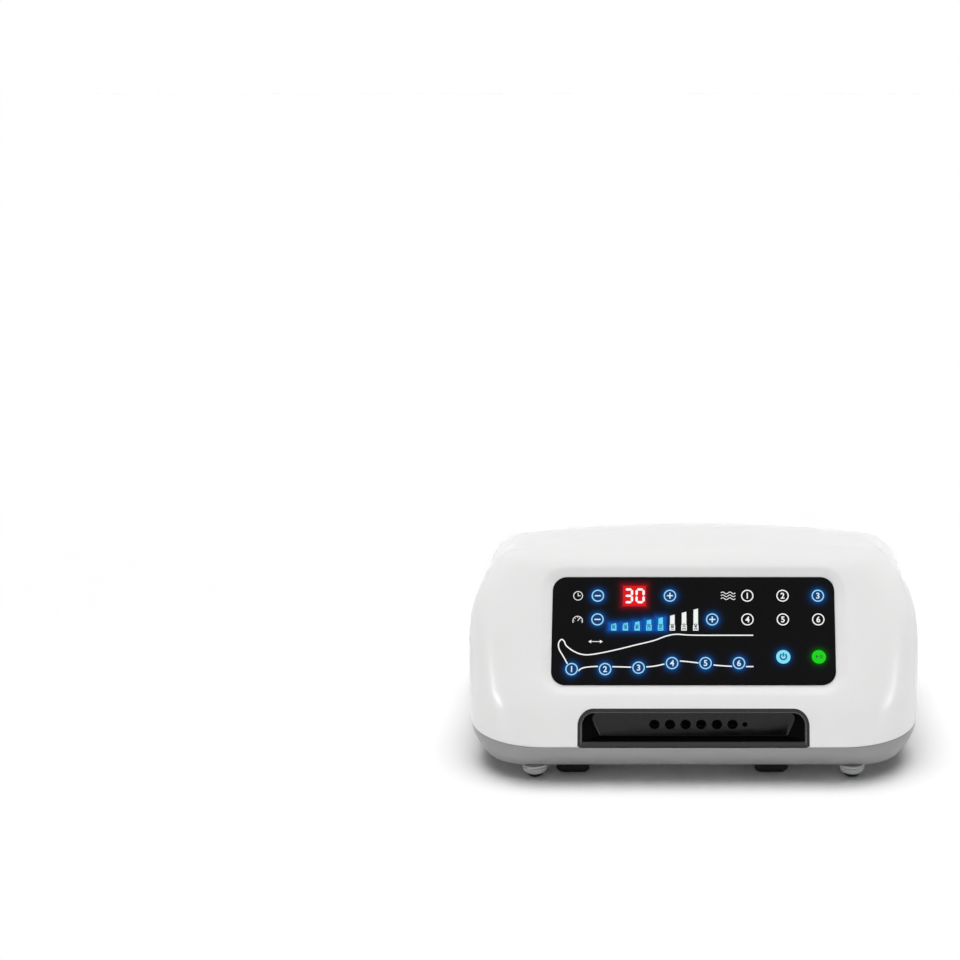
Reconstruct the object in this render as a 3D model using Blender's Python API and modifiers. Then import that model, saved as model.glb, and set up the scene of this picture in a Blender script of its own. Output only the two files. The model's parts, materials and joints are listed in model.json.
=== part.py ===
"""Compression therapy pump: a mains air pump that fills six garment chambers in turn.

The white upper shell stands on a grey base shell. A black key panel lies in a tray on the
leaning front, and a black hose bay with six air outlets lies below it. Inside are a linear
air pump, a rotary air distributor, the boards and the mains inlet at the back.

Metres, +Z up, the front looks along -Y, origin on the ground at the middle of the pump.
"""
import math

import bmesh
import bpy
from mathutils import Matrix, Vector

# Fits shared by all pieces
seat_gap = 0.0003
overrun = 0.004
merge_distance = 0.00001
sharp_angle = math.radians(32.0)
bevel_angle = math.radians(40.0)
deep_overrun = 0.030
tiny_radius = 0.0006

# Case outline
case_width = 0.278
case_depth = 0.200
base_floor_z = 0.009
seam_z = 0.025
belly_z = 0.066
shoulder_z = 0.1226
brow_z = 0.119
roof_z = 0.128
shell_wall = 0.0025
base_wall = 0.0025
seam_inset = 0.0010
rim_trim = 0.0020
side_curve_height = 0.087
roof_sag = 0.0064
base_taper = 0.0105
front_corner_low = 0.050
front_corner_high = 0.026
back_corner_low = 0.032
back_corner_high = 0.018
chin_lean = math.radians(26.0)
panel_lean = math.radians(34.0)
chin_end_z = 0.042
panel_start_z = 0.051
side_curve_power = 2.6
brow_power = 4.5
back_power = 2.2
base_taper_power = 1.8
wall_level_shares = (0.0, 0.12, 0.26, 0.42, 0.58, 0.72, 0.84, 0.93, 1.0)
roof_ring_shares = (0.96, 0.9, 0.8, 0.62, 0.36)
base_level_shares = (0.0, 0.35, 0.65, 0.85, 1.0)
corner_steps = 6
front_steps = 4
side_steps = 4
back_steps = 6

# Facets round a turned piece, a hole and a small stem
round_facets = 22
hole_facets = 16
stem_facets = 10
bore_facets = 6
pin_facets = 12
cap_facets = 20

# Key panel in its tray, measured on the leaning front
panel_centre_z = 0.0857
panel_width = 0.171
panel_height = 0.0672
panel_thickness = 0.0014
panel_radius = 0.0086
tray_gap = 0.0007
tray_depth = 0.0034
tray_side_bevel = 0.0057
tray_end_bevel = 0.0056
tray_radius = 0.0140
tray_wall = 0.0025
tray_pan_margin = 0.0030
window_ledge = 0.0040

# Keys
key_radius = 0.0040
key_hole_gap = 0.0003
key_proud = 0.0002
key_flange_width = 0.0010
key_flange_thickness = 0.0006
key_travel = 0.0005
key_facets = 14
dome_radius = 0.0030
upper_row = 0.0217
lower_row = 0.0069
power_row = -0.0161
position_low_row = -0.0238
position_mid_row = -0.0229
position_high_row = -0.0201
time_minus_x = -0.0580
time_plus_x = -0.0143
pressure_plus_x = 0.0113
mode_first_x = 0.0326
mode_columns = 3
mode_pitch = 0.0214
position_first_x = -0.0731
position_pitch = 0.02008

# Readouts behind the panel
display_width = 0.0145
display_height = 0.0131
display_x = -0.0359
bar_count = 8
bar_width = 0.0033
bar_pitch = 0.00708
bar_first_x = -0.0482
bar_foot = 0.0
bar_short = 0.0049
bar_tall = 0.0140
bar_growth_power = 1.6
bar_slant = 0.0008
board_thickness = 0.0016
board_margin = 0.0040
receiver_width = 0.0062
receiver_height = 0.0052
receiver_depth = 0.0020
receiver_x = 0.0400
receiver_row = -0.0110

# Hose bay and outlets
bay_width = 0.1380
bay_top_z = 0.0457
bay_corner = 0.0120
bay_lip = 0.0030
bay_floor_rise = 0.0024
bay_depth = 0.0110
bay_back_wall = 0.0028
bay_proud = 0.0003
bay_side_draft_top = 0.0040
bay_side_draft_low = 0.0110
outlet_count = 6
outlet_pitch = 0.00933
outlet_radius = 0.0031
outlet_z = 0.0350
locator_radius = 0.0015
locator_x = 0.0307
block_depth = 0.0150
block_margin = 0.0058
block_rear_wall = 0.0030
locator_depth = 0.0060
seal_thickness = 0.0012
barb_radius = 0.0022
barb_length = 0.0050
air_bore_radius = 0.0011

# Case screws and feet
post_x = 0.1120
post_end_inset = 0.0380
post_radius = 0.0042
pilot_radius = 0.0015
pilot_depth = 0.0200
screw_radius = 0.0013
screw_clearance_radius = 0.0018
screw_head_radius = 0.0028
screw_head_height = 0.0022
screw_sink = 0.0050
screw_sink_radius = 0.0033
foot_x = 0.0960
foot_front_inset = 0.0150
foot_rear_inset = 0.0210
foot_radius = 0.0078
foot_waist = 0.0052
foot_rise = 0.0013
foot_tip_radius = 0.0042
foot_stem_radius = 0.0013
foot_boss_radius = 0.0036
foot_boss_height = 0.0070

# Air pump on its soft mounts
pump_x = -0.0130
pump_front_room = 0.0830
pump_length = 0.0800
pump_depth = 0.0520
pump_height = 0.0440
pump_wall = 0.0030
pump_head_length = 0.0170
pump_head_radius = 0.0185
pump_head_wall = 0.0030
mount_span_x = 0.1200
mount_front_inset = 0.0200
mount_rear_reach = 0.0290
mount_pad_width = 0.0200
mount_pad_depth = 0.0140
mount_ground_gap = 0.0015
mount_neck_radius = 0.0042
mount_flange_radius = 0.0070
mount_flange_height = 0.0020
mount_hole_gap = 0.0004
bracket_thickness = 0.0015
bracket_margin = 0.0075
armature_travel = 0.0015
armature_width = 0.0140
armature_height = 0.0100
magnet_length = 0.0120
magnet_spread = 0.0220
diaphragm_radius = 0.0150
diaphragm_thickness = 0.0016
coil_length = 0.0300
coil_height = 0.0240
coil_depth = 0.0120
core_tongue = 0.0060

# Air distributor
distributor_x = 0.0900
distributor_front_room = 0.0580
distributor_radius = 0.0210
distributor_wall = 0.0025
distributor_floor_z = 0.0305
distributor_height = 0.0205
rotor_thickness = 0.0050
rotor_running_gap = 0.0006
rotor_hub_radius = 0.0060
rotor_shaft_radius = 0.0020
rotor_shaft_gap = 0.0003
rotor_shaft_length = 0.0090
rotor_port_radius = 0.0030
rotor_port_offset = 0.0110
lid_thickness = 0.0025
motor_radius = 0.0205
port_block_reach = 0.0260
port_row_offset = 0.0125
port_row_pitch = 0.0062
port_low_z = 0.0345
port_layer_pitch = 0.0062
hose_radius = 0.0023
hose_end_gap = 0.0003
inlet_port_offset = 0.0160
inlet_port_z = 0.0420

# Boards
main_board_x = 0.0050
main_board_rear_room = 0.0520
main_board_width = 0.1300
main_board_depth = 0.0540
main_board_z = 0.0180
board_post_radius = 0.0032
transformer_width = 0.0420
transformer_depth = 0.0340
transformer_height = 0.0300
transformer_x = 0.0420
sensor_width = 0.0120
sensor_x = -0.0420
sensor_offset = 0.0150
ribbon_width = 0.0240
ribbon_thickness = 0.0008
ribbon_x = 0.0080

# Rear plate and what it carries
rear_pocket_depth = 0.0140
rear_plate_thickness = 0.0022
rear_plate_width = 0.1840
rear_plate_low_z = 0.0290
rear_plate_high_z = 0.0720
rear_pocket_wall = 0.0025
rear_ledge = 0.0040
rear_corner = 0.0040
rear_row_z = 0.0500
inlet_x = 0.0720
inlet_flange_width = 0.0300
inlet_flange_height = 0.0200
inlet_flange_thickness = 0.0022
inlet_body_width = 0.0220
inlet_body_height = 0.0125
inlet_body_depth = 0.0180
inlet_mouth_width = 0.0168
inlet_mouth_height = 0.0082
inlet_mouth_depth = 0.0145
inlet_pin_radius = 0.0012
inlet_pin_spread = 0.0086
inlet_pin_length = 0.0080
switch_x = 0.0360
switch_frame_width = 0.0150
switch_frame_height = 0.0210
switch_frame_thickness = 0.0020
switch_body_width = 0.0125
switch_body_height = 0.0185
switch_body_depth = 0.0140
switch_wall = 0.0012
rocker_gap = 0.0004
rocker_tilt = math.radians(9.0)
rocker_rise = 0.0018
rocker_depth = 0.0060
rocker_notch_radius = 0.0180
fuse_x = 0.0090
fuse_cap_radius = 0.0068
fuse_cap_rise = 0.0036
fuse_body_radius = 0.0055
fuse_body_depth = 0.0240
fuse_slot_width = 0.0014
fuse_slot_depth = 0.0012
filter_x = -0.0700
filter_radius = 0.0150
filter_depth = 0.0120
filter_cover_radius = 0.0175
filter_cover_rise = 0.0024
filter_slot_width = 0.0018
filter_slot_count = 5
filter_slot_pitch = 0.0045
filter_cup_wall = 0.0015
vent_count = 9
vent_width = 0.0020
vent_height = 0.0240
vent_pitch = 0.0048
vent_first_x = -0.0460

# Derived places
half_width = case_width / 2
front_y = -case_depth / 2
back_y = case_depth / 2
post_y = back_y - post_end_inset
front_foot_y = front_y + foot_front_inset
rear_foot_y = back_y - foot_rear_inset
bay_back_y = front_y + bay_depth
pump_y = front_y + pump_front_room
mount_front_y = front_y + mount_front_inset
mount_rear_y = pump_y + mount_rear_reach
distributor_y = front_y + distributor_front_room
port_block_x = distributor_x - port_block_reach
port_row_y = distributor_y - port_row_offset
inlet_port_y = distributor_y + inlet_port_offset
main_board_y = back_y - main_board_rear_room
sensor_y = main_board_y - sensor_offset
rear_plate_y = back_y - rear_pocket_depth
window_width = panel_width - 2 * window_ledge
window_height = panel_height - 2 * window_ledge
panel_top_depth = tray_depth - seat_gap - panel_thickness
panel_back_depth = tray_depth - seat_gap
board_front_depth = tray_depth + tray_wall + seat_gap
part_foot_depth = board_front_depth - seat_gap
flange_top_depth = panel_back_depth + seat_gap
flange_low_depth = flange_top_depth + key_flange_thickness
base_floor_top_z = base_floor_z + base_wall
mount_top_z = base_floor_top_z + seat_gap + mount_flange_height
pump_floor_z = mount_top_z + bracket_thickness + seat_gap
pump_axis_z = pump_floor_z + pump_height / 2
bay_rear_y = bay_back_y + bay_back_wall
block_front_y = bay_rear_y + 2 * seat_gap + seal_thickness
block_back_y = block_front_y + block_depth
barb_end_y = block_back_y + barb_length
plate_back_y = rear_plate_y + seat_gap
plate_face_y = plate_back_y + rear_plate_thickness
rear_plate_height = rear_plate_high_z - rear_plate_low_z


def clear_scene():
    for old in list(bpy.data.objects):
        bpy.data.objects.remove(old, do_unlink=True)


def new_collection(name):
    collection = bpy.data.collections.new(name)
    bpy.context.scene.collection.children.link(collection)
    return collection


clear_scene()
parts = new_collection("compression_therapy_pump")
cutters = new_collection("cutters")
finishes = {}


def finish(name, colour, roughness, metallic=0.0):
    """One Principled material by name, made at its first use."""
    if name not in finishes:
        material = bpy.data.materials.new(name)
        material.use_nodes = True
        shader = material.node_tree.nodes["Principled BSDF"]
        shader.inputs["Base Color"].default_value = (*colour, 1.0)
        shader.inputs["Roughness"].default_value = roughness
        shader.inputs["Metallic"].default_value = metallic
        material.diffuse_color = (*colour, 1.0)
        finishes[name] = material
    return finishes[name]


def white_gloss():
    return finish("white_gloss_plastic", (0.86, 0.86, 0.85), 0.25)


def grey_satin():
    return finish("grey_satin_plastic", (0.36, 0.36, 0.37), 0.4)


def black_gloss():
    return finish("black_gloss_plastic", (0.012, 0.012, 0.013), 0.15)


def black_matte():
    return finish("black_matte_plastic", (0.02, 0.02, 0.02), 0.6)


def black_rubber():
    return finish("black_rubber", (0.015, 0.015, 0.015), 0.8)


def clear_plastic():
    return finish("clear_plastic", (0.75, 0.77, 0.78), 0.2)


def steel():
    return finish("plated_steel", (0.62, 0.62, 0.63), 0.3, 1.0)


def cast_alloy():
    return finish("cast_alloy", (0.55, 0.56, 0.58), 0.45, 1.0)


def board_green():
    return finish("circuit_board", (0.03, 0.17, 0.08), 0.45)


def copper():
    return finish("copper_winding", (0.62, 0.28, 0.12), 0.35, 1.0)


def ivory_plastic():
    return finish("ivory_plastic", (0.72, 0.69, 0.6), 0.45)


def hose_silicone():
    return finish("hose_silicone", (0.62, 0.64, 0.62), 0.5)


def filter_foam():
    return finish("filter_foam", (0.1, 0.1, 0.1), 0.95)


def lamp_red():
    return finish("lamp_red", (0.8, 0.02, 0.02), 0.3)


def lamp_white():
    return finish("lamp_white", (0.85, 0.9, 0.95), 0.3)


def add_object(name, mesh, material, cutter=False):
    obj = bpy.data.objects.new(name, mesh)
    (cutters if cutter else parts).objects.link(obj)
    if cutter:
        obj.hide_render = True
        obj.display_type = "WIRE"
    if material is not None:
        mesh.materials.append(material)
    return obj


def mesh_object(name, bm, material=None, cutter=False, place=None, smooth=True):
    if place is not None:
        bmesh.ops.transform(bm, matrix=place, verts=bm.verts)
    bmesh.ops.recalc_face_normals(bm, faces=bm.faces)
    if bm.calc_volume(signed=True) < 0:
        bmesh.ops.reverse_faces(bm, faces=bm.faces)
    mesh = bpy.data.meshes.new(name)
    bm.to_mesh(mesh)
    bm.free()
    if smooth:
        mesh.shade_smooth()
        mesh.set_sharp_from_angle(angle=sharp_angle)
    return add_object(name, mesh, material, cutter)


def boolean(target, other, operation="DIFFERENCE"):
    modifier = target.modifiers.new(operation.lower() + "_" + other.name, "BOOLEAN")
    modifier.operation = operation
    modifier.object = other
    modifier.solver = "EXACT"
    return modifier


def soften(obj, width, segments=2, angle=bevel_angle):
    """Round the sharp edges with a Bevel modifier."""
    bevel = obj.modifiers.new("soft_edges", "BEVEL")
    bevel.width = width
    bevel.segments = segments
    bevel.limit_method = "ANGLE"
    bevel.angle_limit = angle
    return bevel


def add_box(bm, low, high):
    """A box between two corners."""
    low, high = Vector(low), Vector(high)
    made = bmesh.ops.create_cube(bm, size=1.0)
    size = high - low
    move = Matrix.Translation((low + high) / 2) @ Matrix.Diagonal((size.x, size.y, size.z, 1.0))
    bmesh.ops.transform(bm, matrix=move, verts=made["verts"])


def add_cylinder(bm, start, end, radius, facets=hole_facets, end_radius=None):
    """A cylinder or cone from start to end."""
    start, end = Vector(start), Vector(end)
    run = end - start
    made = bmesh.ops.create_cone(bm, cap_ends=True, cap_tris=False, segments=facets, radius1=radius,
                                 radius2=radius if end_radius is None else end_radius, depth=run.length)
    turn = Vector((0, 0, 1)).rotation_difference(run).to_matrix().to_4x4()
    bmesh.ops.transform(bm, matrix=Matrix.Translation((start + end) / 2) @ turn, verts=made["verts"])


def add_loft(bm, loops, open_start=False, open_end=False):
    """Quads between loops of equal length, with a cap on each end that isn't left open."""
    rings = [[bm.verts.new(point) for point in loop] for loop in loops]
    for lower, upper in zip(rings, rings[1:]):
        for i in range(len(lower)):
            j = (i + 1) % len(lower)
            bm.faces.new((lower[i], lower[j], upper[j], upper[i]))
    if not open_start:
        bm.faces.new(list(reversed(rings[0])))
    if not open_end:
        bm.faces.new(rings[-1])
    return rings


def rounded_outline(width, height, radii, steps=5, centre=(0.0, 0.0)):
    """A rectangle with four corner radii, from the upper right one counterclockwise."""
    points = []
    signs = ((1, 1), (-1, 1), (-1, -1), (1, -1))
    for turn, (sign, radius) in enumerate(zip(signs, radii)):
        middle_x = centre[0] + sign[0] * (width / 2 - radius)
        middle_y = centre[1] + sign[1] * (height / 2 - radius)
        for step in range(steps + 1):
            angle = math.pi / 2 * (turn + step / steps)
            points.append((middle_x + radius * math.cos(angle), middle_y + radius * math.sin(angle)))
    return points


def flat_loop(outline, level):
    return [Vector((x, y, level)) for x, y in outline]


def add_plate(bm, outline, low, high):
    add_loft(bm, [flat_loop(outline, low), flat_loop(outline, high)])


def turned(name, profile, material, place=None, facets=round_facets, cutter=False):
    """A closed turned solid: the profile of (radius, height) runs from the top down."""
    mesh = bpy.data.meshes.new(name)
    points = [(radius, 0.0, height) for radius, height in profile]
    mesh.from_pydata(points, [(i, i + 1) for i in range(len(points) - 1)], [])
    obj = add_object(name, mesh, material, cutter)
    screw = obj.modifiers.new("turn", "SCREW")
    screw.axis = "Z"
    screw.angle = math.tau
    screw.steps = facets
    screw.render_steps = facets
    screw.use_merge_vertices = True
    screw.merge_threshold = merge_distance
    screw.use_smooth_shade = True
    if place is not None:
        obj.matrix_world = place
    return obj


def tube_mesh(name, points, radius, sides_half=1):
    """A round hose along points, as a mesh with welded caps."""
    curve = bpy.data.curves.new(name, "CURVE")
    curve.dimensions = "3D"
    curve.bevel_depth = radius
    curve.bevel_resolution = sides_half
    curve.use_fill_caps = True
    spline = curve.splines.new("POLY")
    spline.points.add(len(points) - 1)
    for slot, point in zip(spline.points, points):
        slot.co = (*point, 1.0)
    guide = bpy.data.objects.new(name, curve)
    cutters.objects.link(guide)
    bpy.context.view_layer.update()
    depsgraph = bpy.context.evaluated_depsgraph_get()
    mesh = bpy.data.meshes.new_from_object(guide.evaluated_get(depsgraph))
    bpy.data.objects.remove(guide, do_unlink=True)
    return mesh


def smooth_path(points, steps=5):
    """Points on a smooth curve through the route's own points."""
    route = [Vector(point) for point in points]
    route = [2 * route[0] - route[1]] + route + [2 * route[-1] - route[-2]]
    path = []
    for a, b, c, d in zip(route, route[1:], route[2:], route[3:]):
        for step in range(steps):
            t = step / steps
            path.append(0.5 * (2 * b + (c - a) * t + (2 * a - 5 * b + 4 * c - d) * t ** 2
                               + (3 * b - a - 3 * c + d) * t ** 3))
    path.append(route[-2])
    return path


def add_tube(bm, route, radius, steps=5):
    """A hose along a route, with a short straight at each end so that its ends are square."""
    path = smooth_path(route, steps)
    first = (Vector(route[1]) - Vector(route[0])).normalized() * radius / 2
    last = (Vector(route[-2]) - Vector(route[-1])).normalized() * radius / 2
    middle = [point for point in path if min((point - path[0]).length, (point - path[-1]).length) > radius]
    path = [path[0], path[0] + first] + middle + [path[-1] + last, path[-1]]
    mesh = tube_mesh("tube", path, radius)
    bm.from_mesh(mesh)
    bpy.data.meshes.remove(mesh)
    bmesh.ops.remove_doubles(bm, verts=bm.verts, dist=merge_distance)


def front_y_at(z):
    """The middle of the front: the chin's lean below, the panel's lean above, a bend between."""
    chin, panel = math.tan(chin_lean), math.tan(panel_lean)
    if z <= chin_end_z:
        return front_y + (z - seam_z) * chin
    bend = panel_start_z - chin_end_z
    bend_start_y = front_y + (chin_end_z - seam_z) * chin
    if z <= panel_start_z:
        part = z - chin_end_z
        return bend_start_y + chin * part + (panel - chin) * part * part / (2 * bend)
    return bend_start_y + (chin + panel) / 2 * bend + (z - panel_start_z) * panel


def back_y_at(z):
    rise = (z - seam_z) / (roof_z - seam_z)
    return back_y * (1 - rise ** back_power) ** (1 / back_power)


def half_width_at(z):
    if z < belly_z:
        return half_width - seam_inset * ((belly_z - z) / (belly_z - seam_z)) ** 2
    return half_width * math.sqrt(1 - ((z - belly_z) / side_curve_height) ** side_curve_power)


def roof_z_at(x, y, inset=0.0):
    """The roof: a quick bend up from the brow, an arch across, a long fall to the back."""
    brow_y = front_y_at(brow_z)
    if y < 0:
        height = roof_z - (roof_z - brow_z) * abs(y / brow_y) ** brow_power
    else:
        height = seam_z + (roof_z - seam_z) * (1 - min(y / back_y, 1) ** back_power) ** (1 / back_power)
    share = min(max((y - brow_y) / -brow_y, 0.0), 1.0)
    spread = share * share * (3 - 2 * share)
    return height - spread * roof_sag * (x / half_width_at(shoulder_z)) ** 2 - inset


def ring_plan(half, front, back, front_corner, back_corner):
    """Plan of the case at one level: four round corners with stepped straights between."""
    corners = ((half - back_corner, back - back_corner, back_corner),
               (back_corner - half, back - back_corner, back_corner),
               (front_corner - half, front + front_corner, front_corner),
               (half - front_corner, front + front_corner, front_corner))
    straights = (back_steps, side_steps, front_steps, side_steps)
    points = []
    for turn, (middle_x, middle_y, radius) in enumerate(corners):
        for step in range(corner_steps + 1):
            angle = math.pi / 2 * (turn + step / corner_steps)
            points.append((middle_x + radius * math.cos(angle), middle_y + radius * math.sin(angle)))
        next_x, next_y, next_radius = corners[(turn + 1) % 4]
        angle = math.pi / 2 * (turn + 1)
        start = points[-1]
        end = (next_x + next_radius * math.cos(angle), next_y + next_radius * math.sin(angle))
        for step in range(1, straights[turn]):
            share = step / straights[turn]
            points.append((start[0] + (end[0] - start[0]) * share, start[1] + (end[1] - start[1]) * share))
    return points


def case_plan(level, inset=0.0):
    """Plan of the upper shell at a level from 0 at the seam to 1 at the shoulder."""
    nominal_z = seam_z + (brow_z - seam_z) * level
    half = half_width_at(seam_z + (shoulder_z - seam_z) * level)
    front_corner = front_corner_low + (front_corner_high - front_corner_low) * level
    back_corner = back_corner_low + (back_corner_high - back_corner_low) * level
    return ring_plan(half - inset, front_y_at(nominal_z) + inset, back_y_at(nominal_z) - inset,
                     front_corner - inset, back_corner - inset)


def add_case_surface(bm, inset=0.0, closed=False):
    """The upper shell's outside: rings up the walls, then rings that close over the roof."""
    top = case_plan(1.0, inset)
    top_heights = [roof_z_at(x, y, inset) for x, y in top]
    loops = [[Vector((x, y, seam_z - rim_trim)) for x, y in case_plan(0.0, inset)]]
    for level in wall_level_shares:
        ring = case_plan(level, inset)
        loops.append([Vector((x, y, seam_z + (height - seam_z) * level))
                      for (x, y), height in zip(ring, top_heights)])
    middle_y = (max(y for x, y in top) + min(y for x, y in top)) / 2
    for share in roof_ring_shares:
        ring = [(x * share, middle_y + (y - middle_y) * share) for x, y in top]
        loops.append([Vector((x, y, roof_z_at(x, y, inset))) for x, y in ring])
    rings = add_loft(bm, loops, open_start=not closed, open_end=True)
    crown = bm.verts.new((0.0, middle_y, roof_z_at(0.0, middle_y, inset)))
    last = rings[-1]
    for i in range(len(last)):
        bm.faces.new((last[i], last[(i + 1) % len(last)], crown))


panel_origin = Vector((0.0, front_y_at(panel_centre_z), panel_centre_z))
panel_up = Vector((0.0, math.sin(panel_lean), math.cos(panel_lean)))
panel_out = Vector((0.0, -math.cos(panel_lean), math.sin(panel_lean)))
panel_frame = Matrix.Translation(panel_origin) @ Matrix((
    (1.0, 0.0, 0.0, 0.0),
    (0.0, panel_up.y, panel_out.y, 0.0),
    (0.0, panel_up.z, panel_out.z, 0.0),
    (0.0, 0.0, 0.0, 1.0)))
front_frame = Matrix(((1.0, 0.0, 0.0, 0.0), (0.0, 0.0, -1.0, 0.0), (0.0, 1.0, 0.0, 0.0),
                      (0.0, 0.0, 0.0, 1.0)))
rear_frame = Matrix(((-1.0, 0.0, 0.0, 0.0), (0.0, 0.0, 1.0, 0.0), (0.0, 1.0, 0.0, 0.0),
                     (0.0, 0.0, 0.0, 1.0)))


def four_corners(x, front, back):
    return [(sign * x, y) for y in (front, back) for sign in (-1, 1)]


post_places = four_corners(post_x, -post_y, post_y)
foot_places = four_corners(foot_x, front_foot_y, rear_foot_y)
mount_places = [(pump_x + side * mount_span_x / 2, y) for y in (mount_front_y, mount_rear_y)
                for side in (-1, 1)]
outlet_places = [(i - (outlet_count - 1) / 2) * outlet_pitch for i in range(outlet_count)]


def tray_outline(grow_share, margin=0.0):
    """Outline of the tray: 0 at its floor, 1 where it meets the front."""
    width = panel_width + 2 * (tray_gap + tray_side_bevel * grow_share + margin)
    height = panel_height + 2 * (tray_gap + tray_end_bevel * grow_share + margin)
    radius = panel_radius + tray_gap + (tray_radius - panel_radius) * grow_share + margin
    return rounded_outline(width, height, [radius] * 4)


def bay_outline(margin, lip=0.0, low_margin=0.0):
    """Outline of the hose bay on the front, square below and round above."""
    low = seam_z + seat_gap - low_margin
    high = bay_top_z + margin - lip
    low += lip * bay_floor_rise / bay_lip
    width = bay_width + 2 * (margin - lip)
    corner = bay_corner + margin - lip
    return rounded_outline(width, high - low, (corner, corner, tiny_radius, tiny_radius),
                           centre=(0.0, (high + low) / 2))


def make_shell_frame():
    """Solid walls inside the shell, trimmed to lie within it: tray, rear pocket and posts."""
    bm = bmesh.new()
    add_loft(bm, [[panel_frame @ p for p in flat_loop(tray_outline(1.0, tray_pan_margin), overrun)],
                  [panel_frame @ p for p in flat_loop(tray_outline(0.0, tray_wall),
                                                      -tray_depth - tray_wall)]])
    pocket_half = rear_plate_width / 2 + rear_pocket_wall
    add_box(bm, (-pocket_half, rear_plate_y - rear_pocket_wall, rear_plate_low_z - rear_pocket_wall),
            (pocket_half, back_y + overrun, rear_plate_high_z + rear_pocket_wall))
    for x, y in post_places:
        add_cylinder(bm, (x, y, seam_z + tiny_radius), (x, y, roof_z + overrun), post_radius)
    frame = mesh_object("shell_frame", bm, cutter=True, smooth=False)
    limit = bmesh.new()
    add_case_surface(limit, shell_wall / 2, closed=True)
    boolean(frame, mesh_object("shell_limit", limit, cutter=True, smooth=False), "INTERSECT")
    return frame


def make_shell_cuts():
    bm = bmesh.new()
    reach_share = 1 + overrun / tray_depth
    add_loft(bm, [[panel_frame @ p for p in flat_loop(tray_outline(reach_share), overrun)],
                  [panel_frame @ p for p in flat_loop(tray_outline(0.0), -tray_depth)]])
    return mesh_object("tray_cut", bm, cutter=True, smooth=False)


def make_shell_holes():
    """The window behind the panel, the bay's mouth, the rear pocket's mouth and the pilot bores."""
    bm = bmesh.new()
    window = rounded_outline(window_width, window_height, [tiny_radius] * 4, steps=2)
    add_loft(bm, [[panel_frame @ p for p in flat_loop(window, -tray_depth + overrun / 2)],
                  [panel_frame @ p for p in flat_loop(window, -tray_depth - tray_wall - overrun)]])
    mouth = bay_outline(seat_gap, low_margin=overrun)
    add_loft(bm, [[front_frame @ p for p in flat_loop(mouth, -front_y + overrun)],
                  [front_frame @ p for p in flat_loop(mouth, -block_front_y)]])
    pocket = rounded_outline(rear_plate_width, rear_plate_height, [rear_corner] * 4,
                             centre=(0.0, (rear_plate_low_z + rear_plate_high_z) / 2))
    add_loft(bm, [[rear_frame @ p for p in flat_loop(pocket, rear_plate_y)],
                  [rear_frame @ p for p in flat_loop(pocket, back_y + overrun)]])
    for x, y in post_places:
        add_cylinder(bm, (x, y, seam_z - overrun), (x, y, seam_z + pilot_depth), pilot_radius, stem_facets)
    return mesh_object("shell_holes", bm, cutter=True, smooth=False)


def make_rear_window():
    bm = bmesh.new()
    opening = rounded_outline(rear_plate_width - 2 * rear_ledge, rear_plate_height - 2 * rear_ledge,
                              [tiny_radius] * 4, steps=2,
                              centre=(0.0, (rear_plate_low_z + rear_plate_high_z) / 2))
    add_loft(bm, [[rear_frame @ p for p in flat_loop(opening, rear_plate_y - rear_pocket_wall - overrun)],
                  [rear_frame @ p for p in flat_loop(opening, rear_plate_y + overrun / 2)]])
    return mesh_object("rear_window_cut", bm, cutter=True, smooth=False)


def make_upper_shell():
    bm = bmesh.new()
    add_case_surface(bm)
    shell = mesh_object("upper_shell", bm, white_gloss())
    wall = shell.modifiers.new("wall", "SOLIDIFY")
    wall.thickness = shell_wall
    wall.offset = -1.0
    wall.use_even_offset = True
    boolean(shell, make_shell_frame(), "UNION")
    boolean(shell, make_rim_cut("shell_rim_cut", seam_z - deep_overrun, seam_z))
    boolean(shell, make_shell_cuts())
    boolean(shell, make_shell_holes())
    boolean(shell, make_rear_window())
    return shell


def make_rim_cut(name, low, high):
    """A slab that trims a rim flat between two levels."""
    bm = bmesh.new()
    reach = half_width + deep_overrun
    add_box(bm, (-reach, front_y - deep_overrun, low), (reach, back_y + deep_overrun, high))
    return mesh_object(name, bm, cutter=True, smooth=False)


def base_ring(share, inset=0.0):
    """The base follows the shell's foot and draws in towards the ground."""
    taper = base_taper * share ** base_taper_power + inset
    half = half_width_at(seam_z)
    return ring_plan(half - taper, front_y + taper, back_y - taper, front_corner_low - taper,
                     back_corner_low - taper)


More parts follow.
